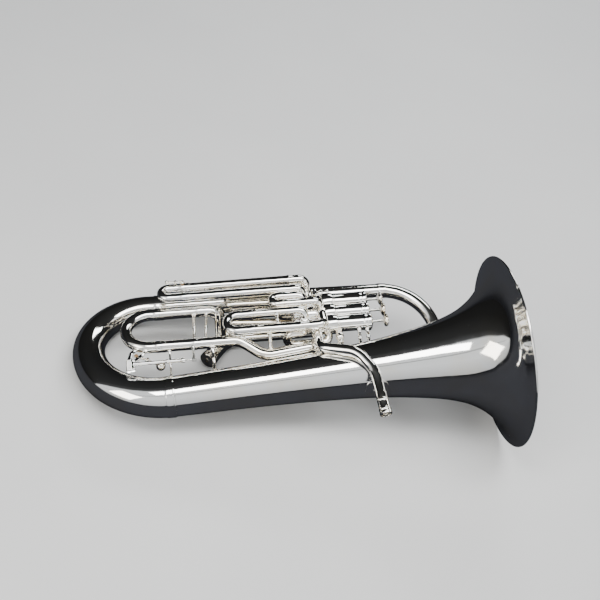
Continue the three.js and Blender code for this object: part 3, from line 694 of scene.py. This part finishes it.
def bell():
    outside = [(BELL_LENGTH - d, r) for d, r in reversed(smooth_outline(BELL_OUTLINE, 5))]
    inside = [(d - BELL_WALL * 0.6, r - BELL_WALL) for d, r in outside]
    inside[0] = (0, BELL_TAIL_RADIUS - BELL_WALL)
    # The rim is rolled outwards over a wire.
    wire = 1.7
    centre = (BELL_LENGTH + 0.9, BELL_RADIUS + 0.4)
    rolled = [(centre[0] - wire * math.cos(a), centre[1] + wire * math.sin(a))
              for a in np.linspace(math.radians(40), math.radians(230), 9)]
    profile = [*outside[:-1], *rolled, *reversed(inside), outside[0]]
    return turned(profile, behind_rim(BELL_LENGTH), bellward, 144, closed=True, ease=0)


bell_tail = behind_rim(BELL_LENGTH + GAP)
bow_corner = bell_tail + bellward * (BOW_LEFT_X - bell_tail[0]) / bellward[0]
bow_lower_bend = (BACK_BRANCH_Y - bow_corner[1] - BOW_UPPER_BEND) / math.tan((math.pi / 2 + BELL_LEAN) / 2)
bow_route = Route(
    [bell_tail, bow_corner, vec(BOW_LEFT_X, BACK_BRANCH_Y, 0), vec(BACK_BRANCH_X[0], BACK_BRANCH_Y, 0)],
    [bow_lower_bend, BOW_UPPER_BEND])


def bottom_bow():
    ring, end = 12, bow_route.length
    tail, head = BELL_TAIL_RADIUS, BACK_BRANCH_RADII[0]
    outside = [
        (0, tail + FERRULE), (2, tail + FERRULE + 0.5), (3.4, tail + FERRULE), (ring, tail + FERRULE),
        (ring, tail), (end - ring, head), (end - ring, head + FERRULE), (end - 3.4, head + FERRULE),
        (end - 2, head + FERRULE + 0.5), (end, head + FERRULE)]
    inside = [(0, tail - BELL_WALL), (end, head - BELL_WALL)]
    return tube(bow_route, outside, inside, sides=80, step=3)


back_route = Route([
    vec(BACK_BRANCH_X[0] + GAP, BACK_BRANCH_Y, 0), vec(BACK_BRANCH_X[1] - GAP, BACK_BRANCH_Y, 0)])


def back_branch():
    wide, narrow = BACK_BRANCH_RADII
    end = back_route.length
    return tube(back_route, [(0, wide), (end, narrow)],
                [(0, wide - BELL_WALL), (end, narrow - BELL_WALL)], sides=64)


top_across = vec(0, -math.cos(TOP_BOW_DIP), -math.sin(TOP_BOW_DIP))
top_start = vec(BACK_BRANCH_X[1], BACK_BRANCH_Y, 0)
top_return = top_start + top_across * 2 * TOP_BOW_BEND
top_route = Route(
    [top_start, top_start + X * TOP_BOW_BEND, top_return + X * TOP_BOW_BEND, top_return - X * TOP_BOW_TAIL],
    TOP_BOW_BEND)


def top_bow():
    ring, end = 14, top_route.length
    start, finish = BACK_BRANCH_RADII[1], BRANCH_RADIUS
    outside = [
        (0, start + FERRULE), (2, start + FERRULE + 0.5), (3.4, start + FERRULE), (ring, start + FERRULE),
        (ring, start), (end - ring, finish), (end - ring, finish + FERRULE), (end, finish + FERRULE)]
    return tube(top_route, outside, [(0, start - TUBE_WALL), (end, finish - TUBE_WALL)], sides=56, step=3)


branch_route = Route([
    vec(MAIN_SLEEVE_X, MAIN_Y[1], MAIN_Z), vec(-424, MAIN_Y[1], MAIN_Z), vec(-386, 18, 22),
    vec(-300, 31, 22.5), vec(-262, 45, -22), vec(-222, top_return[1], top_return[2]),
    vec(top_return[0] - TOP_BOW_TAIL - GAP, top_return[1], top_return[2]),
], [32, 32, 30, 30, 30])

fine("bell", [bell()], BRIGHT)
fine("bottom_bow", [bottom_bow()], BRIGHT)
fine("back_branch", [back_branch()], PLATE)
fine("top_bow", [top_bow()], PLATE)
fine("branch_tube", [plain_tube(
    branch_route, BRANCH_RADIUS, [(0, 7), (52, 57), (branch_route.length - 4, branch_route.length)],
    sides=48)], PLATE)

# ---------------------------------------------------------------- valves


class Valve:
    def __init__(self, number, bottom, axis):
        self.number, self.bottom, self.axis = number, bottom, unit(axis)

    def along(self, distance):
        return self.bottom + self.axis * distance

    def beside(self, x, towards, distance):
        """A point at a distance from the axis of a valve that lies along x, towards another point."""
        centre = vec(x, self.bottom[1], self.bottom[2])
        away = unit((towards - centre) * vec(0, 1, 1))
        return centre + away * distance


VALVE_BOTTOM_X = -325
VALVE_PITCH = vec(0, 29.5, -1.3)
valve_2 = Valve(2, vec(VALVE_BOTTOM_X, 100, 30), X)
valve_1 = Valve(1, valve_2.bottom - VALVE_PITCH, X)
valve_3 = Valve(3, valve_2.bottom + VALVE_PITCH, X)
FOURTH_CROSSING = vec(-450, 127, -42)
fourth_axis = unit(vec(0.56, 0.83, 0))
valve_4 = Valve(4, FOURTH_CROSSING - fourth_axis * 39, fourth_axis)
VALVES = (valve_1, valve_2, valve_3, valve_4)


def knurl(teeth, depth):
    return lambda angles: depth * (np.abs(((angles * teeth / (2 * math.pi)) % 1) * 2 - 1) - 0.5)


def casing(valve):
    low, high = BALUSTER
    outside = [
        (0, 13.9), (1.6, 14.2), (3.4, 13.9), (3.8, CASING_RADIUS), (low - 3.4, CASING_RADIUS),
        (low - 2.8, 14.2), (low - 1.4, 14.2), (low - 1, 13.8), (low - 0.4, 15), (low + 1, BAND_RADIUS - 0.7),
        (low + 4, BAND_RADIUS), (high - 4, BAND_RADIUS), (high - 1, BAND_RADIUS - 0.7), (high + 0.4, 15),
        (high + 1, 13.8), (high + 1.4, 14.2), (high + 2.8, 14.2), (high + 3.4, CASING_RADIUS),
        (CASING_LENGTH - 6, CASING_RADIUS), (CASING_LENGTH - 5, 14.1),
        (CASING_LENGTH - 3.4, 14.4), (CASING_LENGTH - 1.8, 14.1), (CASING_LENGTH - 1, 13.8),
        (CASING_LENGTH, 13.8)]
    profile = [*outside, (CASING_LENGTH, CASING_BORE), (0, CASING_BORE), outside[0]]
    return turned(profile, valve.bottom, valve.axis, 72, closed=True, ease=0.4)


def top_cap(valve):
    profile = [
        (0, 3.4), (0, 13.4), (0.5, CAP_RADIUS), (5.5, CAP_RADIUS), (6, 13.6), (6.6, 13), (7.4, 12),
        (7.9, 8), (8.1, 6), (8.9, 5.8), (9.3, 5.2), (9.3, 3.4), (0, 3.4)]
    return turned(profile, valve.along(CASING_LENGTH + GAP), valve.axis, 200, closed=True, ease=0.25,
                  wave=knurl(50, 0.5), waved=(0.9, 5.1, 14))


def bottom_cap(valve):
    profile = [
        (0, 2), (0, 4), (0.8, 5), (1.2, 9.6), (1.6, 12.4), (2.6, 13.6), (2.9, CAP_RADIUS),
        (8.5, CAP_RADIUS), (9, 13.4), (9, 11.6), (3.2, 10.6), (3.2, 2), (0, 2)]
    return turned(profile, valve.along(-9 - GAP), valve.axis, 200, closed=True, ease=0.3,
                  wave=knurl(50, 0.5), waved=(3.3, 8.1, 14))


def piston(valve):
    """The piston with its grooves, and the stem that carries the button."""
    low, high = 0, PISTON[1] - PISTON[0]
    r = PISTON_RADIUS
    stem = STEM_TOP - PISTON[0]
    profile = [
        (low, r - 1.2), (low, r), (22, r), (22.4, r - 0.3), (23.4, r - 0.3), (23.8, r), (51, r),
        (51.4, r - 0.3), (52.4, r - 0.3), (52.8, r), (high, r), (high, 4.2), (high + 2.4, 4.2),
        (high + 2.4, STEM_RADIUS), (stem, STEM_RADIUS), (stem, 0)]
    inside = [(high - 4, 0), (high - 4, r - 1.2), (low, r - 1.2)]
    return turned([*inside, *profile[1:]], valve.along(PISTON[0]), valve.axis, 56, ease=0.25)


def finger_button(valve):
    profile = [
        (0, 0), (0, 3.2), (1.2, 3.4), (1.8, 5), (2.4, 8.6), (3.2, 10), (4.6, 10.6), (6, 10.6),
        (7.4, 9.8), (8.2, 8.4), (8, 7.6), (7.6, 6.6), (7.5, 3), (7.45, 0)]
    return turned(profile, valve.along(BUTTON), valve.axis, 56, ease=0.3)


def coil_spring(valve):
    """A coil of round wire with closed ends."""
    turns, per_turn, radius, wire, sides = 9, 24, 7.4, 0.6, 10
    low, high = SPRING[0] + wire + 0.2, SPRING[1] - wire - 0.2
    count = turns * per_turn
    u = square_to(valve.axis)
    v = np.cross(valve.axis, u)

    def centre(i):
        share = i / count
        rise = low + (high - low) * (share - math.sin(2 * math.pi * share) / (2 * math.pi) * 0.6)
        angle = 2 * math.pi * i / per_turn
        return valve.along(rise) + radius * (math.cos(angle) * u + math.sin(angle) * v)

    rings = []
    for i in range(count + 1):
        tangent = unit(centre(i + 0.5) - centre(i - 0.5))
        normal = unit(valve.axis - (valve.axis @ tangent) * tangent)
        size = 1e-4 if i in (0, count) else wire
        rings.append(circle(centre(i), tangent, normal, size, sides))
    return grid(rings)


def build_valve(valve):
    n = valve.number
    fine(f"valve_casing_{n}", [casing(valve)], BRIGHT)
    fine(f"top_cap_{n}", [top_cap(valve)], BRIGHT)
    fine(f"bottom_cap_{n}", [bottom_cap(valve)], PLATE)
    fine(f"piston_{n}", [piston(valve)], NICKEL, f"piston_{n}")
    fine(f"finger_button_{n}", [finger_button(valve)], WARM, f"piston_{n}")
    fine(f"piston_spring_{n}", [coil_spring(valve)], STEEL)
    washer = [(0, 3.5), (0, 5.2), (1.4, 5.2), (1.4, 3.5), (0, 3.5)]
    make(f"button_felt_{n}", [turned(washer, valve.along(BUTTON + 0.2), valve.axis, 36, closed=True)],
         FELT, f"piston_{n}")


for each in VALVES:
    build_valve(each)

# ---------------------------------------------------------------- tuning slides


def on_leg(leg, x):
    """The point at x on a slide's leg."""
    return vec(x, leg[1], leg[2])


def slide_crook(first, second, bend_x, sleeve_x, reach, radius, pull=-1, sides=40):
    """A U with two inner legs. It bulges towards -x, or towards +x where pull is +1."""
    bend = np.linalg.norm(second - first) / 2
    inner_end = sleeve_x - pull * reach
    corner_x = bend_x + pull * bend
    route = Route([on_leg(first, inner_end), on_leg(first, corner_x),
                   on_leg(second, corner_x), on_leg(second, inner_end)], bend - 0.001)
    shoulder = reach + GAP
    leg = radius - TUBE_WALL - SLIDE_FIT
    end = route.length
    ring = 7.5
    outside = [
        (0, leg), (shoulder, leg), (shoulder, radius + FERRULE), (shoulder + ring, radius + FERRULE),
        (shoulder + ring, radius), (end - shoulder - ring, radius), (end - shoulder - ring, radius + FERRULE),
        (end - shoulder, radius + FERRULE), (end - shoulder, leg), (end, leg)]
    return tube(route, outside, [(0, leg - 0.5), (end, leg - 0.5)], sides=sides, step=4)


def radial_tube(leg, sleeve_x, corner_x, valve, bend, radius):
    """A slide's fixed tube that turns down onto its valve."""
    corner, port = on_leg(leg, corner_x), valve.beside(corner_x, leg, INTO_CASING)
    route = Route([on_leg(leg, sleeve_x), corner, port], bend)
    return plain_tube(route, radius, [(0, 6)], sides=40, end=Port(valve, CASING_RADIUS))


main_upper, main_lower = (vec(0, y, MAIN_Z) for y in MAIN_Y)
main_crook = slide_crook(main_upper, main_lower, -564.5, MAIN_SLEEVE_X, 58, BRANCH_RADIUS, sides=48)
fine("main_slide_crook", [main_crook], BRIGHT, "main_slide")
main_route = Route([
    vec(MAIN_SLEEVE_X, MAIN_Y[0], MAIN_Z), vec(FOURTH_CROSSING[0], MAIN_Y[0], MAIN_Z),
    vec(FOURTH_CROSSING[0], FOURTH_CROSSING[1], FOURTH_CROSSING[2] + INTO_CASING)], 24)
fine("main_slide_upper_tube", [plain_tube(
    main_route, BRANCH_RADIUS, [(0, 7), (62, 67)], sides=48, end=Port(valve_4))], PLATE)

LEGS_1 = (vec(0, 84, 55), vec(0, 45, 55))
LEGS_2 = (vec(0, 118.5, 58.4), vec(0, 99.8, 58.4))
LEGS_3 = (vec(0, 158, 60.4), vec(0, 133.5, 60.4))
LEGS_4 = (vec(0, 162, -42), vec(0, 137, -42))

SLEEVE_1, SLEEVE_2, SLEEVE_3, SLEEVE_4 = -399, -346, -503, -340

for number, legs, bend_x, sleeve_x, reach, radius, pull in (
        (1, LEGS_1, -423, SLEEVE_1, 55, BIG_SLIDE_RADIUS, -1),
        (2, LEGS_2, -355.5, SLEEVE_2, 11, SLIDE_RADIUS, -1),
        (3, LEGS_3, -530.7, SLEEVE_3, 120, SLIDE_RADIUS, -1),
        (4, LEGS_4, -289, SLEEVE_4, 60, BIG_SLIDE_RADIUS, 1)):
    crook = slide_crook(*legs, bend_x, sleeve_x, reach, radius, pull)
    fine(f"slide_{number}_crook", [crook], BRIGHT, f"slide_{number}")

for name, leg, sleeve_x, corner_x, valve, bend, radius in (
        ("slide_1_upper_tube", LEGS_1[0], SLEEVE_1, -316, valve_1, 10, BIG_SLIDE_RADIUS),
        ("slide_2_upper_tube", LEGS_2[0], SLEEVE_2, -314.5, valve_2, 10.5, SLIDE_RADIUS),
        ("slide_2_lower_tube", LEGS_2[1], SLEEVE_2, -289, valve_2, 10.5, SLIDE_RADIUS),
        ("slide_3_lower_tube", LEGS_3[1], SLEEVE_3, -313, valve_3, 12.5, SLIDE_RADIUS)):
    fine(name, [radial_tube(leg, sleeve_x, corner_x, valve, bend, radius)], PLATE)

lower_1 = Route([
    vec(SLEEVE_1, 45, 55), vec(-288, 45, 55), vec(-288, 77.5, 55), vec(-288, 77.5, 39)], 11.3)
fine("slide_1_lower_tube", [plain_tube(
    lower_1, BIG_SLIDE_RADIUS, [(0, 6), (70, 75)], sides=40, end=Port(valve_1, CASING_RADIUS))], PLATE)
upper_3 = Route([
    vec(SLEEVE_3, 158, 60.4), vec(-304.5, 158, 60.4), vec(-304.5, 158, valve_3.bottom[2]),
    vec(-304.5, valve_3.bottom[1] + INTO_CASING, valve_3.bottom[2])], 13)
fine("slide_3_upper_tube", [plain_tube(
    upper_3, SLIDE_RADIUS, [(0, 6), (168, 172)], sides=40, end=Port(valve_3, CASING_RADIUS))], PLATE)

for leg, side in zip(LEGS_4, ("upper", "lower")):
    on_axis = valve_4.bottom[0] + (leg[1] - valve_4.bottom[1]) / valve_4.axis[1] * valve_4.axis[0]
    route = Route([on_leg(leg, SLEEVE_4), on_leg(leg, on_axis + INTO_CASING)])
    fine(f"slide_4_{side}_tube", [plain_tube(
        route, BIG_SLIDE_RADIUS, [(0, 6)], sides=40, end=Port(valve_4, CASING_RADIUS))], PLATE)

# ---------------------------------------------------------------- tubes between valves

link_route = Route([
    vec(-272, valve_3.bottom[1], valve_3.bottom[2] - INTO_CASING), vec(-272, valve_3.bottom[1], -14),
    vec(-436.5, 147, -14), vec(-436.5, 147, valve_4.bottom[2] + INTO_CASING)], 11)
fine("valve_link_tube", [plain_tube(
    link_route, SLIDE_RADIUS, sides=40, start=Port(valve_3), end=Port(valve_4))], WARM)

LOOP_RADIUS = 6.4
third_loop = Route([
    valve_3.beside(-318.7, vec(0, 154.5, 33), INTO_CASING), vec(-318.7, 156, 34), vec(-436, 154.5, 36),
    vec(-436, 134.5, 36), vec(-352, 134.5, 34), vec(-352, 134.5, 2), vec(-300, 131, 2),
    vec(-300, 129.5, valve_3.bottom[2] - INTO_CASING)], [10, 9.9, 9.9, 11, 11, 10.5])
first_loop = Route([
    valve_1.beside(-318, vec(0, 47, 39.5), INTO_CASING), vec(-318, 47, 39.5), vec(-347.6, 47, 39.5),
    vec(-347.6, 50, 12.5), vec(-278, 50, 12.5), valve_1.beside(-278, vec(0, 50, 12.5), INTO_CASING),
], [10, 12.9, 12.9, 10])
for name, route, valve, end_surface in (
        ("compensating_loop_3", third_loop, valve_3, CASING_RADIUS),
        ("compensating_loop_1", first_loop, valve_1, BALUSTER_RADIUS)):
    fine(name, [plain_tube(route, LOOP_RADIUS, sides=36, start=Port(valve, CASING_RADIUS),
                           end=Port(valve, end_surface))], WARM)

# ---------------------------------------------------------------- leadpipe

lead_route = Route([
    vec(-300, valve_1.bottom[1] - INTO_CASING, 35), vec(-300, 2, 45), vec(-246, -27, 57),
    vec(-223.5, -62, 46), vec(-219, -107, 27.5)], [19, 44, 60])
lead_end, lead_tangent, _ = lead_route.at(lead_route.length)


def leadpipe():
    end = lead_route.length
    outside = [(0, 8.6), (end - 9, 8.05), (end - 9, 8.7), (end, 8.7)]
    return tube(lead_route, outside, [(0, 7.9), (end, 7.4)], sides=40, step=4,
                start=Port(valve_1, CASING_RADIUS))


def mouthpiece_receiver():
    profile = [
        (0, 8.2), (2, 8.9), (3.4, 9.2), (4.6, 8.7), (16, 8.9), (17, 9.5), (19, 9.7), (20.5, 9.2), (22, 9.2),
        (23, 9.7), (26.2, 9.7), (27, 9.0), (27, 7.1), (0, 6.6), (0, 8.2)]
    return turned(profile, lead_end + lead_tangent * GAP, lead_tangent, 56, closed=True, ease=0.3)


def on_bell(direction, behind, height):
    """A point a height above the bell's surface, in a direction square to its axis."""
    return behind_rim(behind) + direction * (radius_behind(behind) + height)


def wrapped_plate(centre_behind, direction, radius, thickness, sides=64, rows=8):
    """A round plate that follows the bell's surface."""
    across = unit(np.cross(bellward, direction))
    rings = []
    for share, height in [(s / rows, thickness) for s in range(rows)] + [
            (0.985, thickness * 0.9), (1.0, thickness * 0.55), (1.0, -0.2)]:
        ring = []
        for angle in np.arange(sides) * 2 * math.pi / sides:
            r = radius * share
            behind = centre_behind + r * math.cos(angle)
            swing = r * math.sin(angle) / radius_behind(behind)
            ring.append(on_bell(about(direction, bellward, swing), behind, height))
        rings.append(ring)
    return grid(rings)


PLATE_BEHIND_RIM = 221


def leadpipe_brace():
    """A round plate on the bell, and the post that carries the leadpipe."""
    down = unit(vec(0, -1, 0) - (vec(0, -1, 0) @ bellward) * bellward)
    pipe = lead_route.at(lead_route.length - 24)[0]
    foot = on_bell(down, PLATE_BEHIND_RIM, 0)
    length = np.linalg.norm(pipe - foot)
    post = turned([(-1, 0), (-1, 7), (0.9, 6.6), (2, 4.6), (5, 3.4), (length - 13, 3), (length - 10.4, 4),
                   (length - 8.6, 5.4), (length - 7.2, 5), (length - 7.2, 0)], foot, pipe - foot, 36)
    return [wrapped_plate(PLATE_BEHIND_RIM, down, 19, 1.5), post]


fine("leadpipe", [leadpipe()], BRIGHT)
fine("mouthpiece_receiver", [mouthpiece_receiver()], BRIGHT)
fine("leadpipe_brace", leadpipe_brace(), PLATE)

# ---------------------------------------------------------------- braces


def brace(begin, begin_radius, finish, finish_radius, foot=4.5, waist=2.4):
    """A waisted post between two tubes, from one centre line to the other, with a collar at mid height."""
    axis = unit(finish - begin)
    length = np.linalg.norm(finish - begin) - begin_radius - finish_radius + 1.6
    start = begin + axis * (begin_radius - 0.8)
    mid = length / 2
    profile = [
        (0, 0), (0, foot), (1.5, foot * 0.92), (2.6, foot * 0.62), (4.6, waist * 1.15), (6.5, waist),
        (mid - 1.6, waist), (mid - 1, waist + 0.7), (mid, waist + 1), (mid + 1, waist + 0.7),
        (mid + 1.6, waist), (length - 6.5, waist), (length - 4.6, waist * 1.15),
        (length - 2.6, foot * 0.62), (length - 1.5, foot * 0.92), (length, foot), (length, 0)]
    return turned(profile, start, axis, 32, ease=0.4)


def bell_at(x):
    return BELL_CENTRE + bellward * x / bellward[0]


def bell_radius(x):
    return radius_behind(-x / bellward[0])


def casing_strut():
    """Two legs from the first valve's casing to the bell."""
    legs = []
    for x, lean in ((-228, -3), (-216, 3)):
        begin = vec(x, valve_1.bottom[1], valve_1.bottom[2])
        legs.append(brace(begin, 13.4, bell_at(x + lean), bell_radius(x + lean), 4.2, 2.5))
    return legs


for name, *ends_and_sizes in (
        ("bell_outer", on_leg(main_lower, -536.5), BRANCH_RADIUS,
         bell_at(-536.5), BELL_TAIL_RADIUS + FERRULE, 3.5, 1.5),
        ("bell_middle", on_leg(main_lower, -468), BRANCH_RADIUS, bell_at(-468), bell_radius(-468), 6, 2.8),
        ("bell_inner", vec(-376, 45, 55), BIG_SLIDE_RADIUS, vec(-376, 19.4, 22.2), 9.6, 4.8, 2.6),
        ("main_slide", on_leg(main_upper, -492.7), BRANCH_RADIUS,
         on_leg(main_lower, -496.8), BRANCH_RADIUS, 4.3),
        ("main_slide_inner", on_leg(main_upper, -472), BRANCH_RADIUS,
         on_leg(main_lower, -479), BRANCH_RADIUS, 3.4, 1.9),
        ("back_branch", vec(-420, 158, 60.4), SLIDE_RADIUS, vec(-420, BACK_BRANCH_Y, 0), 17.4)):
    fine(f"brace_{name}", [brace(*ends_and_sizes)], PLATE)
fine("brace_casing_bell", casing_strut(), PLATE)

# ---------------------------------------------------------------- small fittings


def beaded_post(begin, finish, radius=0.95):
    """A thin post with a round bead near each end."""
    axis = unit(finish - begin)
    length = np.linalg.norm(finish - begin)
    beads = [bead(begin + axis * length * share, axis, 1.9) for share in (0.14, 0.86)]
    return [rod(begin, finish, radius, 16), *beads]


def casing_knuckle():
    """A turned post between the first valve's casing and the bell."""
    begin = vec(-262, valve_1.bottom[1] - 12.8, valve_1.bottom[2] - 3)
    finish = vec(-262, 20, 22)
    length = np.linalg.norm(finish - begin)
    profile = [(0, 0), (0, 5.2), (2, 5.6), (4, 5.2), (4.6, 4.2), (6, 4.2), (7, 5.4), (10, 6.5), (13, 6.7),
               (16, 6.2), (18.5, 4.8), (19.5, 3.6), (21, 3.6), (22, 4.6), (24, 5), (26, 4.6), (27, 3.6),
               (length, 3.8), (length, 0)]
    return [turned(profile, begin, finish - begin, 40, ease=0.4)]


def third_valve_fittings():
    """A domed port, a small hoop and a knob on the third valve's casing."""
    outward = unit(vec(0, 0.88, 0.48))
    port = valve_3.bottom + vec(34, 0, 0) + outward * 12.8
    dome = turned([(0, 0), (0, 7.2), (1.2, 6.8), (2, 6.2), (8, 6.2), (11, 5.2), (13, 3.2), (14, 0)],
                  port, outward, 40)
    hoop_foot = valve_3.bottom + vec(44.5, 0, 0) + outward * 16
    knob_foot = valve_3.bottom + vec(56, 0, 0) + outward * 16
    knob_profile = [
        (0, 0), (0, 2.6), (1, 2.4), (1.8, 1.4), (3.4, 1.4), (4.4, 2.6), (5.8, 3), (7.2, 2.4), (8, 0)]
    knob = turned(knob_profile, knob_foot, outward, 28)
    return [dome, hoop(hoop_foot + outward * 3.6, Y, 3.6, 0.9), knob]


make("slide_1_cross_brace", [brace(vec(-361, 84, 55), 7.6, vec(-361, 45, 55), 7.6, 5.6, 2.2)], PLATE)
make("beaded_posts", [
    *beaded_post(vec(-451, 117, 30), vec(-453.5, 53, 36)),
    *beaded_post(vec(-457.5, 117, 33), vec(-460, 53, 36))], WARM)
make("casing_knuckle", casing_knuckle(), WARM)
make("third_valve_fittings", third_valve_fittings(), BRIGHT)

# ---------------------------------------------------------------- main slide trigger

ROD = vec(0, 5.5, 38)
ROD_X = (-495, -585)
GUIDE_POST_X = -499
BARREL_X = (-601.3, -594.7)
BARREL_Y = (13, -10)


def rod_point(x):
    return vec(x, ROD[1], ROD[2])


def bent_rod(corners, bend, radius, sides=20, squeeze=1.0):
    """A solid rod along a route, with rounded ends, whose section may be squeezed flat along z."""
    route = Route(corners, bend)
    end = route.length
    profile = [(0, 1e-3), (0, radius * 0.7), (radius * 0.3, radius), (end - radius * 0.3, radius),
               (end, radius * 0.7), (end, 1e-3)]
    rings = []
    for distance, ring_radius in along_route(profile, route.stations(6)):
        centre, _, normal = route.at(distance)
        ring = route.ring(distance, ring_radius, sides)
        rings.append(ring + np.outer((ring - centre) @ normal, normal) * (squeeze - 1))
    return grid(rings)


def trigger_bracket():
    """Two curved bands from the crook, a barrel of two columns, and the pipe that rides on the guide."""
    top, bottom = BARREL_Y
    left, right = BARREL_X
    bands = [
        bent_rod([vec(-586.5, 43, 36.5), vec(-597, 31, 38), vec(left, top - 3, 38)], 9, 3.1, squeeze=0.6),
        bent_rod([vec(-573, 37.5, 36.5), vec(-583, 21, 38), vec(right, top - 4, 38)], 9, 3.1, squeeze=0.6)]
    length = top - bottom
    ribbed = [(0, 0), (0, 3.2), (0.8, 3.9)]
    for start in np.arange(1.6, length - 2.4, 1.8):
        ribbed += [(start, 3.9), (start + 0.5, 3.3), (start + 0.9, 3.3), (start + 1.4, 3.9)]
    ribbed += [(length - 0.8, 3.9), (length, 3.2), (length, 0)]
    smooth = [(0, 0), (0, 3), (0.8, 3.7), (3, 3.7), (3.5, 3.3), (length - 3.5, 3.3), (length - 3, 3.7),
              (length - 0.8, 3.7), (length, 3), (length, 0)]
    columns = [turned(ribbed, vec(left, top, 38), -Y, 32, ease=0.2),
               turned(smooth, vec(right, top, 38), -Y, 32, ease=0.2)]
    pipe = turned([
        (1, 0), (1, 3.6), (3, 3.6), (3.4, 2.6), (10, 2.6), (10.4, 3.3), (12, 3.3), (12.4, 2.6),
        (52, 2.6), (52.4, 3.4), (55.5, 3.4), (56, 2.6), (75, 2.6), (75.4, 3.6), (77.5, 3.9), (81, 3.7),
        (81, 1.5), (6, 1.5), (6, 0)], rod_point(right), X, 32)
    return [*bands, *columns, pipe]


def trigger_guide():
    foot = vec(GUIDE_POST_X, MAIN_Y[1] - 8.6, 36)
    post = turned([(0, 0), (0, 4), (1.4, 3.6), (3, 2.3), (26, 1.9), (28, 2.2), (28, 0)],
                  foot, rod_point(GUIDE_POST_X) - foot, 28)
    guide = rod(rod_point(ROD_X[0]), rod_point(ROD_X[1]), 1.0, 16)
    nut = turned([(0, 0), (0, 2.6), (1.2, 3.4), (6, 3.4), (7.2, 2.6), (7.2, 0)], rod_point(-502.6), X, 6)
    return [post, guide, nut]


fine("trigger_bracket", trigger_bracket(), BRIGHT, "main_slide")
fine("trigger_guide_rod", trigger_guide(), NICKEL)

# ---------------------------------------------------------------- water keys


def water_key(node, body, cup, pivot, touch, side, knob, cup_drop):
    """A lever with a cork cup at one end, a pivot barrel and a touch piece at the other."""
    lift = unit(cup_drop)
    lever = bent_rod([cup - lift * 0.6, pivot, touch], 8, 1.5)
    barrel = turned([(0, 0), (0, 1.5), (0.5, 1.9), (7.5, 1.9), (8, 1.5), (8, 0)], pivot - side * 4, side, 24)
    bowl = turned([(-1.6, 0), (-1.6, 2), (-0.8, 3), (1.2, 3.5), (1.6, 3.5), (1.6, 0)], cup, lift, 32)
    fine(node, [lever, barrel, bowl, bead(touch, Z, knob)], WARM, body)
    pad = turned([(1.4, 0), (1.4, 2.9), (2.5, 2.9), (2.5, 0)], cup, lift, 28)
    make(f"{node}_cork", [pad], CORK, body)


water_key("water_key_main", "main_water_key", vec(-590, 43, 20.5), vec(-573, 34, 19.5), vec(-552, 16, 20),
          vec(0.47, 0.88, 0), 7.6, vec(0, 0, 2.6))
water_key("water_key_third", "third_water_key", vec(-508, 158, 73), WATER_KEY_PIVOT, vec(-533, 158, 74.5),
          Y, 3.2, vec(0, 0, -2.8))
